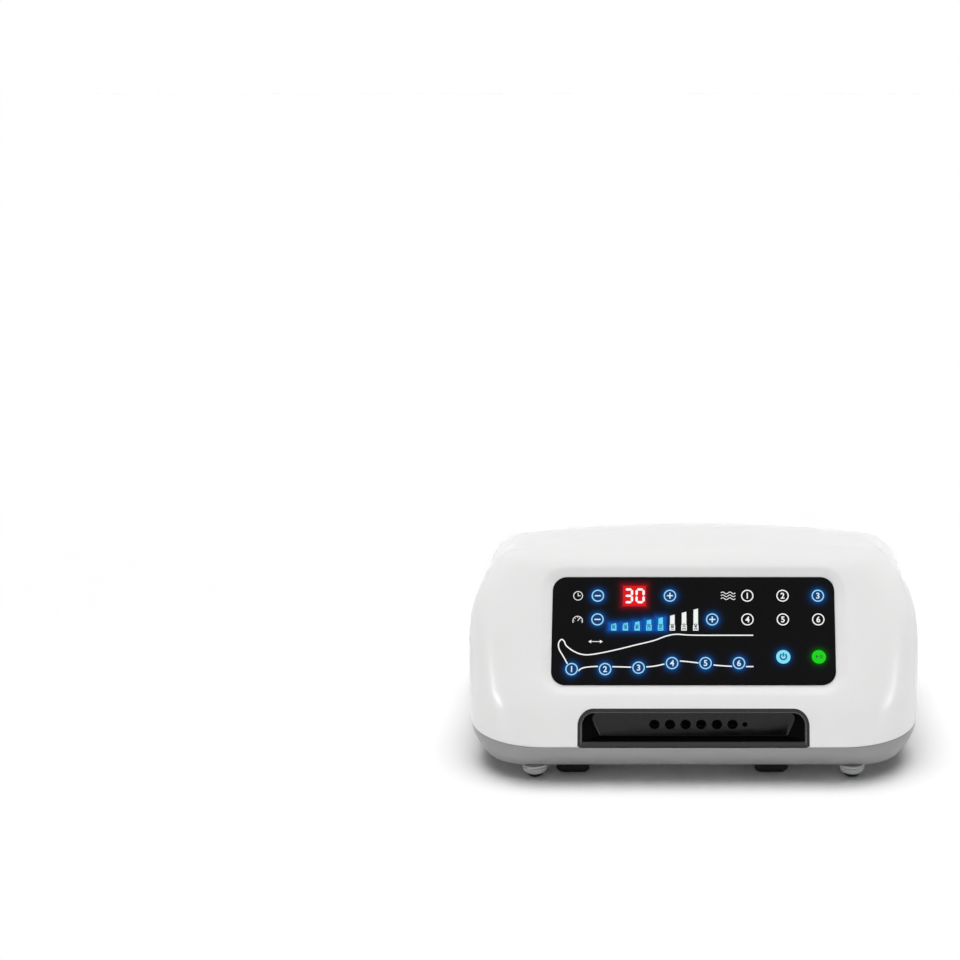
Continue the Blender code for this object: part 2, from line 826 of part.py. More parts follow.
def make_base_shell():
    rim_z = seam_z - seat_gap
    bm = bmesh.new()
    loops = [[Vector((x, y, rim_z + rim_trim)) for x, y in base_ring(0.0)]]
    loops += [[Vector((x, y, rim_z + (base_floor_z - rim_z) * share)) for x, y in base_ring(share)]
              for share in base_level_shares]
    add_loft(bm, list(reversed(loops)), open_end=True)
    base = mesh_object("base_shell", bm, grey_satin())
    wall = base.modifiers.new("wall", "SOLIDIFY")
    wall.thickness = base_wall
    wall.offset = -1.0
    wall.use_even_offset = True
    boolean(base, make_rim_cut("base_rim_cut", rim_z, rim_z + deep_overrun))
    raised = bmesh.new()
    sunk = base_floor_z + base_wall / 2
    for x, y in post_places:
        add_cylinder(raised, (x, y, sunk), (x, y, seam_z - seat_gap), screw_sink_radius + base_wall)
    for x, y in foot_places:
        add_cylinder(raised, (x, y, sunk), (x, y, base_floor_top_z + foot_boss_height), foot_boss_radius,
                     stem_facets)
    for x, y in board_post_places():
        add_cylinder(raised, (x, y, sunk), (x, y, main_board_z - seat_gap), board_post_radius, stem_facets)
    boolean(base, mesh_object("base_posts", raised, cutter=True, smooth=False), "UNION")
    holes = bmesh.new()
    for x, y in post_places:
        add_cylinder(holes, (x, y, base_floor_z - overrun), (x, y, base_floor_z + screw_sink),
                     screw_sink_radius)
    for x, y in foot_places:
        add_cylinder(holes, (x, y, base_floor_z - overrun), (x, y, base_floor_top_z + foot_boss_height / 2),
                     pilot_radius, stem_facets)
    for x, y in mount_places:
        add_cylinder(holes, (x, y, base_floor_z - overrun), (x, y, base_floor_top_z + overrun),
                     mount_neck_radius + mount_hole_gap)
    boolean(base, mesh_object("base_holes", holes, cutter=True, smooth=False))
    shafts = bmesh.new()
    for x, y in post_places:
        add_cylinder(shafts, (x, y, base_floor_z + tiny_radius), (x, y, seam_z + overrun),
                     screw_clearance_radius, stem_facets)
    boolean(base, mesh_object("base_screw_shafts", shafts, cutter=True, smooth=False))
    return base


def board_post_places():
    inset = 2 * board_post_radius
    return [(main_board_x + sx * (main_board_width / 2 - inset),
             main_board_y + sy * (main_board_depth / 2 - inset))
            for sx in (-1, 1) for sy in (-1, 1)]


def key_table():
    """Name, place across and place up the panel of each key."""
    keys = [("key_time_minus", time_minus_x, upper_row), ("key_time_plus", time_plus_x, upper_row),
            ("key_pressure_minus", time_minus_x, lower_row),
            ("key_pressure_plus", pressure_plus_x, lower_row)]
    for i in range(2 * mode_columns):
        row = upper_row if i < mode_columns else lower_row
        keys.append((f"key_mode_{i + 1}", mode_first_x + (i % mode_columns) * mode_pitch, row))
    rows = [position_low_row] * 2 + [position_mid_row] + [position_high_row] * 3
    for i, row in enumerate(rows):
        keys.append((f"key_chamber_{i + 1}", position_first_x + i * position_pitch, row))
    keys.append(("key_power", mode_first_x + mode_pitch, power_row))
    keys.append(("key_start", mode_first_x + 2 * mode_pitch, power_row))
    return keys


def bar_outline(index, shrink=0.0):
    """One bar of the pressure scale, with its slanted head."""
    x = bar_first_x + index * bar_pitch
    height = bar_short + (bar_tall - bar_short) * (index / (bar_count - 1)) ** bar_growth_power
    left, right = x - bar_width / 2 + shrink, x + bar_width / 2 - shrink
    low, high = bar_foot + shrink, bar_foot + height - shrink
    return [(left, low), (right, low), (right, high), (left, high - bar_slant)]


def make_panel_pieces():
    bm = bmesh.new()
    add_plate(bm, rounded_outline(panel_width, panel_height, [panel_radius] * 4, steps=6),
              -panel_back_depth, -panel_top_depth)
    panel = mesh_object("control_panel", bm, black_gloss(), place=panel_frame, smooth=False)
    cuts = bmesh.new()
    for name, x, up in key_table():
        add_cylinder(cuts, (x, up, -panel_back_depth - overrun), (x, up, overrun),
                     key_radius + key_hole_gap, key_facets)
    add_box(cuts, (display_x - display_width / 2, upper_row - display_height / 2,
                   -panel_back_depth - overrun),
            (display_x + display_width / 2, upper_row + display_height / 2, overrun))
    for i in range(bar_count):
        add_plate(cuts, bar_outline(i), -panel_back_depth - overrun, overrun)
    boolean(panel, mesh_object("panel_cuts", cuts, cutter=True, place=panel_frame, smooth=False))

    bm = bmesh.new()
    add_box(bm, (display_x - display_width / 2 + seat_gap, upper_row - display_height / 2 + seat_gap,
                 -part_foot_depth),
            (display_x + display_width / 2 - seat_gap, upper_row + display_height / 2 - seat_gap,
             -panel_top_depth))
    mesh_object("time_display", bm, lamp_red(), place=panel_frame, smooth=False)

    strip = bmesh.new()
    strip_top = -(panel_back_depth + part_foot_depth) / 2
    add_box(strip, (bar_first_x - bar_width / 2, bar_foot + bar_slant, -part_foot_depth),
            (bar_first_x + (bar_count - 1) * bar_pitch + bar_width / 2, bar_foot + bar_short - bar_slant,
             strip_top))
    bars = mesh_object("pressure_bars", strip, lamp_white(), place=panel_frame, smooth=False)
    prisms = bmesh.new()
    for i in range(bar_count):
        add_plate(prisms, bar_outline(i, seat_gap), strip_top - tiny_radius, -panel_top_depth)
    boolean(bars, mesh_object("bar_prisms", prisms, cutter=True, place=panel_frame, smooth=False), "UNION")

    bm = bmesh.new()
    add_box(bm, (-window_width / 2 - board_margin, -window_height / 2 - board_margin,
                 -board_front_depth - board_thickness),
            (window_width / 2 + board_margin, window_height / 2 + board_margin, -board_front_depth))
    board = mesh_object("display_board", bm, board_green(), place=panel_frame, smooth=False)

    soldered = bmesh.new()
    sunk = -board_front_depth - board_thickness / 4
    switch_top = -flange_low_depth - key_travel - seat_gap / 2
    for name, x, up in key_table():
        add_cylinder(soldered, (x, up, sunk), (x, up, switch_top), dome_radius, 8, 2 * dome_radius / 3)
    add_box(soldered, (receiver_x - receiver_width / 2, receiver_row - receiver_height / 2, sunk),
            (receiver_x + receiver_width / 2, receiver_row + receiver_height / 2,
             receiver_depth - part_foot_depth))
    boolean(board, mesh_object("board_switches", soldered, cutter=True, place=panel_frame, smooth=False),
            "UNION")


def make_keys():
    flange_radius = key_radius + key_flange_width
    profile = [(0.0, key_proud - panel_top_depth), (key_radius, key_proud - panel_top_depth),
               (key_radius, -flange_top_depth),
               (flange_radius, -flange_top_depth), (flange_radius, -flange_low_depth),
               (0.0, -flange_low_depth)]
    for name, x, up in key_table():
        turned(name, profile, black_gloss(), panel_frame @ Matrix.Translation((x, up, 0.0)), key_facets)


def make_hose_bay():
    """A black tub whose rim lies on the leaning front, with drafted sides and a flat back."""
    bm = bmesh.new()
    outline = bay_outline(0.0)
    face = [Vector((x, front_y_at(z) - bay_proud, z)) for x, z in outline]
    back = [Vector((x, bay_rear_y, z)) for x, z in outline]
    add_loft(bm, [face, back])
    bay = mesh_object("hose_bay", bm, black_gloss(), smooth=False)
    cavity = bmesh.new()
    inner = bay_outline(0.0, bay_lip)
    low = min(z for x, z in inner)
    high = max(z for x, z in inner)
    front = [Vector((x, front_y - overrun, z)) for x, z in inner]
    rim = [Vector((x, front_y_at(z), z)) for x, z in inner]
    floor_half = bay_width / 2 - bay_lip
    wall = []
    for x, z in inner:
        draft = bay_side_draft_low + (bay_side_draft_top - bay_side_draft_low) * (z - low) / (high - low)
        wall.append(Vector((x * (floor_half - draft) / floor_half, bay_back_y, z)))
    add_loft(cavity, [front, rim, wall])
    boolean(bay, mesh_object("bay_cavity", cavity, cutter=True, smooth=False))
    holes = bmesh.new()
    for x in outlet_places:
        add_cylinder(holes, (x, bay_back_y - overrun / 2, outlet_z), (x, bay_rear_y + overrun, outlet_z),
                     outlet_radius)
    add_cylinder(holes, (locator_x, bay_back_y - overrun / 2, outlet_z),
                 (locator_x, bay_rear_y + overrun, outlet_z), locator_radius, stem_facets)
    boolean(bay, mesh_object("bay_holes", holes, cutter=True, smooth=False))
    return bay


def make_outlet_block():
    low_x = outlet_places[0] - block_margin
    high_x = locator_x + block_margin
    bm = bmesh.new()
    add_box(bm, (low_x, block_front_y, outlet_z - block_margin),
            (high_x, block_back_y, outlet_z + block_margin))
    block = mesh_object("outlet_block", bm, black_matte(), smooth=False)
    barbs = bmesh.new()
    for x in outlet_places:
        add_cylinder(barbs, (x, block_back_y - tiny_radius, outlet_z), (x, barb_end_y, outlet_z),
                     barb_radius, stem_facets)
    boolean(block, mesh_object("outlet_barbs", barbs, cutter=True, smooth=False), "UNION")
    bores = bmesh.new()
    for x in outlet_places:
        add_cylinder(bores, (x, block_front_y - overrun, outlet_z),
                     (x, block_back_y - block_rear_wall, outlet_z),
                     outlet_radius)
    add_cylinder(bores, (locator_x, block_front_y - overrun, outlet_z),
                 (locator_x, block_front_y + locator_depth, outlet_z), locator_radius, stem_facets)
    boolean(block, mesh_object("outlet_bores", bores, cutter=True, smooth=False))
    airways = bmesh.new()
    for x in outlet_places:
        add_cylinder(airways, (x, block_back_y - block_rear_wall - tiny_radius, outlet_z),
                     (x, barb_end_y + overrun, outlet_z), air_bore_radius, bore_facets)
    boolean(block, mesh_object("outlet_airways", airways, cutter=True, smooth=False))

    bm = bmesh.new()
    add_box(bm, (low_x, bay_rear_y + seat_gap, outlet_z - block_margin),
            (high_x, bay_rear_y + seat_gap + seal_thickness, outlet_z + block_margin))
    seal = mesh_object("outlet_seal", bm, black_rubber(), smooth=False)
    ways = bmesh.new()
    for x in outlet_places:
        add_cylinder(ways, (x, bay_rear_y - overrun, outlet_z), (x, block_front_y + overrun, outlet_z),
                     outlet_radius)
    add_cylinder(ways, (locator_x, bay_rear_y - overrun, outlet_z),
                 (locator_x, block_front_y + overrun, outlet_z),
                 locator_radius, stem_facets)
    boolean(seal, mesh_object("seal_ways", ways, cutter=True, smooth=False))


def make_feet():
    """Four domed feet, each one moulding with a dark tip and a stem pressed into the base."""
    top = base_floor_z - seat_gap
    stem_top = base_floor_top_z + foot_boss_height / 2 - seat_gap
    stem_radius = foot_stem_radius
    profile = [(0.0, stem_top), (stem_radius, stem_top), (stem_radius, top),
               (foot_radius - foot_rise / 2, top),
               (foot_radius, top - foot_rise / 2), (foot_radius, top - foot_rise)]
    steps = 3
    for step in range(1, steps + 1):
        angle = math.pi / 2 * step / steps
        profile.append((foot_waist + (foot_radius - foot_waist) * math.cos(angle),
                        foot_rise + (top - 2 * foot_rise) * (1 - math.sin(angle))))
    profile += [(foot_tip_radius, foot_rise), (foot_tip_radius - foot_rise / 3, 0.0), (0.0, 0.0)]
    names = ("foot_front_left", "foot_front_right", "foot_rear_left", "foot_rear_right")
    for name, (x, y) in zip(names, foot_places):
        turned(name, profile, clear_plastic(), Matrix.Translation((x, y, 0.0)), hole_facets)


def add_turned(bm, profile, centre, facets):
    """A turned solid about a vertical axis: profile runs between two points on the axis."""
    rings = []
    for radius, height in profile[1:-1]:
        rings.append([Vector((centre[0] + radius * math.cos(math.tau * i / facets),
                              centre[1] + radius * math.sin(math.tau * i / facets), centre[2] + height))
                      for i in range(facets)])
    add_loft(bm, rings)


def make_screws():
    """Four long screws that hold the shells together."""
    head_top = base_floor_z + screw_sink - seat_gap
    head_low = head_top - screw_head_height
    tip = seam_z + pilot_depth - seat_gap
    profile = [(0.0, tip), (screw_radius, tip), (screw_radius, head_top), (screw_head_radius, head_top),
               (screw_head_radius, head_low), (0.0, head_low)]
    names = ("screw_front_left", "screw_front_right", "screw_rear_left", "screw_rear_right")
    for name, (x, y) in zip(names, post_places):
        turned(name, profile, steel(), Matrix.Translation((x, y, 0.0)), stem_facets)


def make_pump_cradle():
    """A soft cradle under the pump, with four rubber buttons that hang through the base floor."""
    floor_low = base_floor_z - seat_gap
    floor_high = base_floor_top_z + seat_gap
    xs = [x for x, y in mount_places]
    ys = [y for x, y in mount_places]
    bm = bmesh.new()
    add_box(bm, (min(xs) - bracket_margin, min(ys) - bracket_margin, mount_top_z),
            (max(xs) + bracket_margin, max(ys) + bracket_margin, mount_top_z + bracket_thickness))
    cradle = mesh_object("pump_cradle", bm, black_rubber(), smooth=False)
    necks = bmesh.new()
    pads = bmesh.new()
    sunk = mount_top_z + bracket_thickness / 2
    for x, y in mount_places:
        add_turned(necks, [(0.0, floor_low / 2), (mount_neck_radius, floor_low / 2),
                           (mount_neck_radius, floor_high),
                           (mount_flange_radius, floor_high), (mount_flange_radius, sunk), (0.0, sunk)],
                   (x, y, 0.0), hole_facets)
        add_box(pads, (x - mount_pad_width / 2, y - mount_pad_depth / 2, mount_ground_gap),
                (x + mount_pad_width / 2, y + mount_pad_depth / 2, floor_low))
    boolean(cradle, mesh_object("mount_necks", necks, cutter=True, smooth=False), "UNION")
    boolean(cradle, mesh_object("mount_pads", pads, cutter=True, smooth=False), "UNION")


def make_air_pump():
    """Linear pump: a magnet armature swings between two coils and works a diaphragm at each end."""
    low = (pump_x - pump_length / 2, pump_y - pump_depth / 2, pump_floor_z)
    high = (pump_x + pump_length / 2, pump_y + pump_depth / 2, pump_floor_z + pump_height)
    bm = bmesh.new()
    add_box(bm, low, high)
    case = mesh_object("pump_case", bm, cast_alloy(), smooth=False)
    soften(case, pump_wall / 2, 1)
    inner = bmesh.new()
    add_box(inner, (low[0] + pump_wall, low[1] + pump_wall, low[2] + pump_wall),
            (high[0] - pump_wall, high[1] - pump_wall, high[2] + overrun))
    boolean(case, mesh_object("pump_cavity", inner, cutter=True, smooth=False))
    slots = bmesh.new()
    add_box(slots, (low[0] - overrun, pump_y - armature_width / 2 - pump_wall, pump_axis_z - armature_height),
            (high[0] + overrun, pump_y + armature_width / 2 + pump_wall, pump_axis_z + armature_height))
    boolean(case, mesh_object("pump_end_slots", slots, cutter=True, smooth=False))

    bm = bmesh.new()
    top = high[2] + seat_gap
    add_box(bm, (low[0], low[1], top), (high[0], high[1], top + pump_wall / 2))
    lid = mesh_object("pump_lid", bm, cast_alloy(), smooth=False)
    soften(lid, pump_wall / 4, 1)

    for side, name in ((-1, "pump_head_left"), (1, "pump_head_right")):
        face = pump_x + side * (pump_length / 2 + seat_gap)
        far = face + side * pump_head_length
        bm = bmesh.new()
        add_cylinder(bm, (face, pump_y, pump_axis_z), (far, pump_y, pump_axis_z), pump_head_radius,
                     round_facets)
        head = mesh_object(name, bm, ivory_plastic())
        barb = bmesh.new()
        add_cylinder(barb, (far - side * pump_head_wall / 2, pump_y, pump_axis_z),
                     (far + side * barb_length, pump_y, pump_axis_z), barb_radius, stem_facets)
        boolean(head, mesh_object(name + "_barb", barb, cutter=True, smooth=False), "UNION")
        chamber = bmesh.new()
        add_cylinder(chamber, (face - side * overrun, pump_y, pump_axis_z),
                     (far - side * pump_head_wall, pump_y, pump_axis_z), pump_head_radius - pump_head_wall,
                     round_facets)
        boolean(head, mesh_object(name + "_chamber", chamber, cutter=True, smooth=False))
        airway = bmesh.new()
        add_cylinder(airway, (far - side * (pump_head_wall + tiny_radius), pump_y, pump_axis_z),
                     (far + side * (barb_length + overrun), pump_y, pump_axis_z), air_bore_radius,
                     bore_facets)
        boolean(head, mesh_object(name + "_airway", airway, cutter=True, smooth=False))

    disc_x = pump_length / 2 + armature_travel + 2 * seat_gap
    reach = disc_x + diaphragm_thickness / 2
    bm = bmesh.new()
    add_box(bm, (pump_x - reach, pump_y - armature_width / 2 + magnet_length / 4,
                 pump_axis_z - armature_height / 2),
            (pump_x + reach, pump_y + armature_width / 2 - magnet_length / 4,
             pump_axis_z + armature_height / 2))
    armature = mesh_object("armature", bm, ivory_plastic(), smooth=False)
    magnets = bmesh.new()
    for side in (-1, 1):
        x = pump_x + side * magnet_spread / 2
        add_box(magnets, (x - magnet_length / 2, pump_y - armature_width / 2,
                          pump_axis_z - armature_height / 2 - tiny_radius),
                (x + magnet_length / 2, pump_y + armature_width / 2,
                 pump_axis_z + armature_height / 2 + tiny_radius))
    discs = bmesh.new()
    for side in (-1, 1):
        start = pump_x + side * disc_x
        add_cylinder(discs, (start, pump_y, pump_axis_z),
                     (start + side * diaphragm_thickness, pump_y, pump_axis_z),
                     diaphragm_radius, round_facets)
    boolean(armature, mesh_object("magnet_blocks", magnets, cutter=True, smooth=False), "UNION")
    boolean(armature, mesh_object("diaphragm_discs", discs, cutter=True, smooth=False), "UNION")

    gap = armature_width / 2 + 2 * seat_gap
    wall = pump_depth / 2 - pump_wall
    for side, name in ((-1, "stator_front"), (1, "stator_rear")):
        near = pump_y + side * gap
        far = near + side * coil_depth
        bm = bmesh.new()
        add_box(bm, (pump_x - coil_length / 2, min(near, far), pump_axis_z - coil_height / 2),
                (pump_x + coil_length / 2, max(near, far), pump_axis_z + coil_height / 2))
        coil = mesh_object(name, bm, copper(), smooth=False)
        core = bmesh.new()
        near, far = near + side * coil_depth / 2, pump_y + side * (wall - seat_gap)
        add_box(core, (pump_x - coil_length / 3, min(near, far), pump_floor_z + pump_wall + seat_gap),
                (pump_x + coil_length / 3, max(near, far), pump_axis_z + coil_height / 2 + core_tongue))
        boolean(coil, mesh_object(name + "_core", core, cutter=True, smooth=False), "UNION")


def make_distributor():
    """A rotor with one port turns over six air ways and feeds the chambers in turn."""
    centre = Vector((distributor_x, distributor_y, 0.0))
    floor = distributor_floor_z
    top = floor + distributor_height
    bm = bmesh.new()
    add_cylinder(bm, centre + Vector((0, 0, floor)), centre + Vector((0, 0, top)), distributor_radius,
                 round_facets)
    body = mesh_object("distributor_body", bm, ivory_plastic())
    block = bmesh.new()
    high_y = port_row_y + port_row_pitch + 2 * hose_radius
    add_box(block, (port_block_x, port_row_y - 2 * hose_radius, floor + tiny_radius),
            (distributor_x, high_y, top - tiny_radius))
    boolean(body, mesh_object("port_block", block, cutter=True, smooth=False), "UNION")
    barbs = bmesh.new()
    for y, z in port_places():
        add_cylinder(barbs, (port_block_x - barb_length, y, z), (port_block_x + overrun, y, z), barb_radius,
                     stem_facets)
    add_cylinder(barbs, (distributor_x - distributor_radius - barb_length, inlet_port_y, inlet_port_z),
                 (distributor_x, inlet_port_y, inlet_port_z), barb_radius, stem_facets)
    boolean(body, mesh_object("distributor_barbs", barbs, cutter=True, smooth=False), "UNION")
    chamber = bmesh.new()
    add_cylinder(chamber, centre + Vector((0, 0, floor + distributor_wall)),
                 centre + Vector((0, 0, top + overrun)),
                 distributor_radius - distributor_wall, round_facets)
    boolean(body, mesh_object("distributor_chamber", chamber, cutter=True, smooth=False))
    shaft_hole = bmesh.new()
    add_cylinder(shaft_hole, centre + Vector((0, 0, floor - overrun)), centre + Vector((0, 0, top)),
                 rotor_shaft_radius + rotor_shaft_gap, stem_facets)
    boolean(body, mesh_object("distributor_shaft_hole", shaft_hole, cutter=True, smooth=False))
    airways = bmesh.new()
    for y, z in port_places():
        add_cylinder(airways, (port_block_x - barb_length - overrun, y, z), (distributor_x, y, z),
                     air_bore_radius, bore_facets)
    add_cylinder(airways, (distributor_x - distributor_radius - barb_length - overrun, inlet_port_y,
                           inlet_port_z),
                 (distributor_x, inlet_port_y, inlet_port_z), air_bore_radius, bore_facets)
    boolean(body, mesh_object("distributor_airways", airways, cutter=True, smooth=False))

    lid_low = top + seat_gap
    bm = bmesh.new()
    add_cylinder(bm, centre + Vector((0, 0, lid_low)), centre + Vector((0, 0, lid_low + lid_thickness)),
                 distributor_radius, round_facets)
    mesh_object("distributor_lid", bm, ivory_plastic())

    rotor_low = floor + distributor_wall + rotor_running_gap
    rotor_radius = distributor_radius - distributor_wall - rotor_running_gap
    motor_top = floor - seat_gap
    shaft_end = motor_top - rotor_shaft_length
    profile = [(0.0, top - rotor_running_gap), (rotor_hub_radius, top - rotor_running_gap),
               (rotor_hub_radius, rotor_low + rotor_thickness), (rotor_radius, rotor_low + rotor_thickness),
               (rotor_radius, rotor_low), (rotor_shaft_radius, rotor_low), (rotor_shaft_radius, shaft_end),
               (0.0, shaft_end)]
    rotor = turned("distributor_rotor", profile, black_matte(), Matrix.Translation(centre))
    port = bmesh.new()
    add_cylinder(port, centre + Vector((rotor_port_offset, 0, rotor_low - rotor_running_gap / 2)),
                 centre + Vector((rotor_port_offset, 0, rotor_low + rotor_thickness + overrun)),
                 rotor_port_radius, stem_facets)
    boolean(rotor, mesh_object("rotor_port", port, cutter=True, smooth=False))

    motor_low = base_floor_top_z + seat_gap
    bm = bmesh.new()
    add_cylinder(bm, centre + Vector((0, 0, motor_low)), centre + Vector((0, 0, motor_top)), motor_radius,
                 round_facets)
    motor = mesh_object("distributor_motor", bm, steel())
    bore = bmesh.new()
    add_cylinder(bore, centre + Vector((0, 0, shaft_end - seat_gap)),
                 centre + Vector((0, 0, motor_top + overrun)),
                 rotor_shaft_radius + rotor_shaft_gap, stem_facets)
    boolean(motor, mesh_object("motor_bore", bore, cutter=True, smooth=False))


def port_places():
    """Centres of the six hose ports on the distributor, two columns in three layers."""
    return [(port_row_y + (i % 2) * port_row_pitch, port_low_z + (i // 2) * port_layer_pitch)
            for i in range(outlet_count)]


def make_hoses():
    """Six hoses in one clip from the distributor to the outlets, and the supply and intake hoses."""
    start_y = barb_end_y + hose_end_gap
    end_x = port_block_x - barb_length - hose_end_gap
    loom = bmesh.new()
    for x, (y, z) in zip(reversed(outlet_places), port_places()):
        turn = 3 * hose_radius
        straight = start_y + 1.3 * hose_radius
        rise_y = (straight + y - turn / 3) / 2
        route = [(x, start_y, outlet_z), (x, straight, outlet_z), (x + turn / 12, rise_y, (outlet_z + z) / 2),
                 (x + turn / 3, y - turn / 4, z), (x + turn, y, z), ((x + turn + end_x) / 2, y, z),
                 (end_x - 2 * hose_radius, y, z), (end_x, y, z)]
        add_tube(loom, route, hose_radius, 2)
    hoses = mesh_object("loom_hoses", loom, cutter=True, smooth=False)
    clip = bmesh.new()
    clip_x = outlet_places[-1] + 6 * hose_radius
    places = port_places()
    add_box(clip, (clip_x, places[0][0] - hose_radius / 2, places[0][1] - hose_radius / 2),
            (clip_x + 2 * hose_radius, places[-1][0] + hose_radius / 2, places[-1][1] + hose_radius / 2))
    boolean(mesh_object("hose_loom", clip, hose_silicone()), hoses, "UNION")

    head_reach = pump_length / 2 + seat_gap + pump_head_length + barb_length + hose_end_gap
    head_end = pump_x + head_reach
    inlet_end = distributor_x - distributor_radius - barb_length - hose_end_gap
    supply = bmesh.new()
    run = (inlet_end - head_end) / 3
    add_tube(supply, [(head_end, pump_y, pump_axis_z), (head_end + run, pump_y, pump_axis_z),
                      (inlet_end - run, inlet_port_y, inlet_port_z), (inlet_end, inlet_port_y, inlet_port_z)],
             hose_radius, 4)
    mesh_object("supply_hose", supply, hose_silicone())
    left_end = pump_x - head_reach
    filter_end = plate_back_y - filter_depth - barb_length - hose_end_gap
    swing = 4 * hose_radius
    intake = bmesh.new()
    add_tube(intake, [(left_end, pump_y, pump_axis_z), (left_end - 2 * hose_radius, pump_y, pump_axis_z),
                      (left_end - swing, pump_y + swing, pump_axis_z),
                      ((left_end - swing + filter_x) / 2 - hose_radius, (pump_y + filter_end) / 2,
                       pump_axis_z),
                      (filter_x - hose_radius, filter_end - swing, rear_row_z),
                      (filter_x, filter_end - 2 * hose_radius, rear_row_z),
                      (filter_x, filter_end, rear_row_z)],
             hose_radius, 3)
    mesh_object("intake_hose", intake, hose_silicone())


def make_boards():
    low = (main_board_x - main_board_width / 2, main_board_y - main_board_depth / 2)
    high = (main_board_x + main_board_width / 2, main_board_y + main_board_depth / 2)
    top = main_board_z + board_thickness + seat_gap
    bm = bmesh.new()
    add_box(bm, (*low, main_board_z), (*high, main_board_z + board_thickness))
    board = mesh_object("main_board", bm, board_green(), smooth=False)

    bm = bmesh.new()
    add_box(bm, (transformer_x - transformer_width / 2, main_board_y - transformer_depth / 2, top),
            (transformer_x + transformer_width / 2, main_board_y + transformer_depth / 2,
             top + transformer_height))
    transformer = mesh_object("transformer", bm, steel(), smooth=False)
    bobbin = bmesh.new()
    add_box(bobbin, (transformer_x - transformer_width / 4,
                     main_board_y - transformer_depth / 2 - core_tongue,
                     top + transformer_height / 6),
            (transformer_x + transformer_width / 4, main_board_y + transformer_depth / 2 + core_tongue,
             top + transformer_height * 5 / 6))
    boolean(transformer, mesh_object("transformer_bobbin", bobbin, cutter=True, smooth=False), "UNION")

    soldered = bmesh.new()
    sunk = main_board_z + board_thickness / 2
    capacitor_radius = transformer_width / 8
    part_height = transformer_height * 2 / 3
    for i in range(3):
        x = low[0] + (2 + 3 * i) * capacitor_radius
        y = high[1] - 2 * capacitor_radius
        add_cylinder(soldered, (x, y, sunk), (x, y, top + part_height), capacitor_radius, hole_facets)
    sink_x = transformer_x - transformer_width / 2 - 2 * capacitor_radius
    add_box(soldered, (sink_x - board_thickness, low[1] + capacitor_radius, sunk),
            (sink_x + board_thickness, high[1] - capacitor_radius, top + part_height))
    add_box(soldered, (sensor_x - sensor_width / 2, sensor_y - sensor_width / 2, sunk),
            (sensor_x + sensor_width / 2, sensor_y + sensor_width / 2, top + sensor_width / 2))
    boolean(board, mesh_object("board_parts", soldered, cutter=True, smooth=False), "UNION")

    leave = panel_frame @ Vector((0.0, -window_height / 4, -board_front_depth - board_thickness - seat_gap))
    over_pump = pump_floor_z + pump_height + pump_wall / 2 + 2 * seat_gap + 4 * ribbon_thickness
    rear_of_pump = pump_y + pump_depth / 2 + 4 * ribbon_thickness
    board_edge = low[1] + 4 * ribbon_thickness
    middle_z = (over_pump + top) / 2
    route = [leave, leave - panel_out * 4 * ribbon_thickness,
             Vector((0.0, leave.y + 4 * board_margin, over_pump)),
             Vector((0.0, pump_y, over_pump)), Vector((0.0, rear_of_pump - 2 * ribbon_thickness, over_pump)),
             Vector((0.0, rear_of_pump + 4 * ribbon_thickness, middle_z)),
             Vector((0.0, board_edge, top + board_margin)), Vector((0.0, board_edge, top + ribbon_thickness))]
    path = smooth_path(route, 3)
    bm = bmesh.new()
    rows = [[bm.verts.new((ribbon_x + side * ribbon_width / 2, point.y, point.z)) for side in (-1, 1)]
            for point in path]
    for a, b in zip(rows, rows[1:]):
        bm.faces.new((a[0], a[1], b[1], b[0]))
    ribbon = mesh_object("ribbon_cable", bm, finish("grey_ribbon", (0.3, 0.3, 0.32), 0.6))
    thick = ribbon.modifiers.new("thickness", "SOLIDIFY")
    thick.thickness = ribbon_thickness
    thick.offset = 0.0


def make_rear_plate():
    middle_z = (rear_plate_low_z + rear_plate_high_z) / 2
    outline = rounded_outline(rear_plate_width - 2 * seat_gap, rear_plate_height - 2 * seat_gap,
                              [rear_corner - seat_gap] * 4, centre=(0.0, middle_z))
    bm = bmesh.new()
    add_plate(bm, outline, plate_back_y, plate_face_y)
    plate = mesh_object("rear_plate", bm, grey_satin(), place=rear_frame, smooth=False)
    cuts = bmesh.new()
    gap = seat_gap
    for x, width, height in ((inlet_x, inlet_body_width, inlet_body_height),
                             (switch_x, switch_body_width, switch_body_height)):
        add_box(cuts, (x - width / 2 - gap, plate_back_y - overrun, rear_row_z - height / 2 - gap),
                (x + width / 2 + gap, plate_face_y + overrun, rear_row_z + height / 2 + gap))
    add_cylinder(cuts, (fuse_x, plate_back_y - overrun, rear_row_z),
                 (fuse_x, plate_face_y + overrun, rear_row_z),
                 fuse_body_radius + gap, cap_facets)
    for i in range(vent_count):
        x = vent_first_x + i * vent_pitch
        add_box(cuts, (x - vent_width / 2, plate_back_y - overrun, rear_row_z - vent_height / 2),
                (x + vent_width / 2, plate_face_y + overrun, rear_row_z + vent_height / 2))
    boolean(plate, mesh_object("rear_plate_cuts", cuts, cutter=True, smooth=False))
    return plate


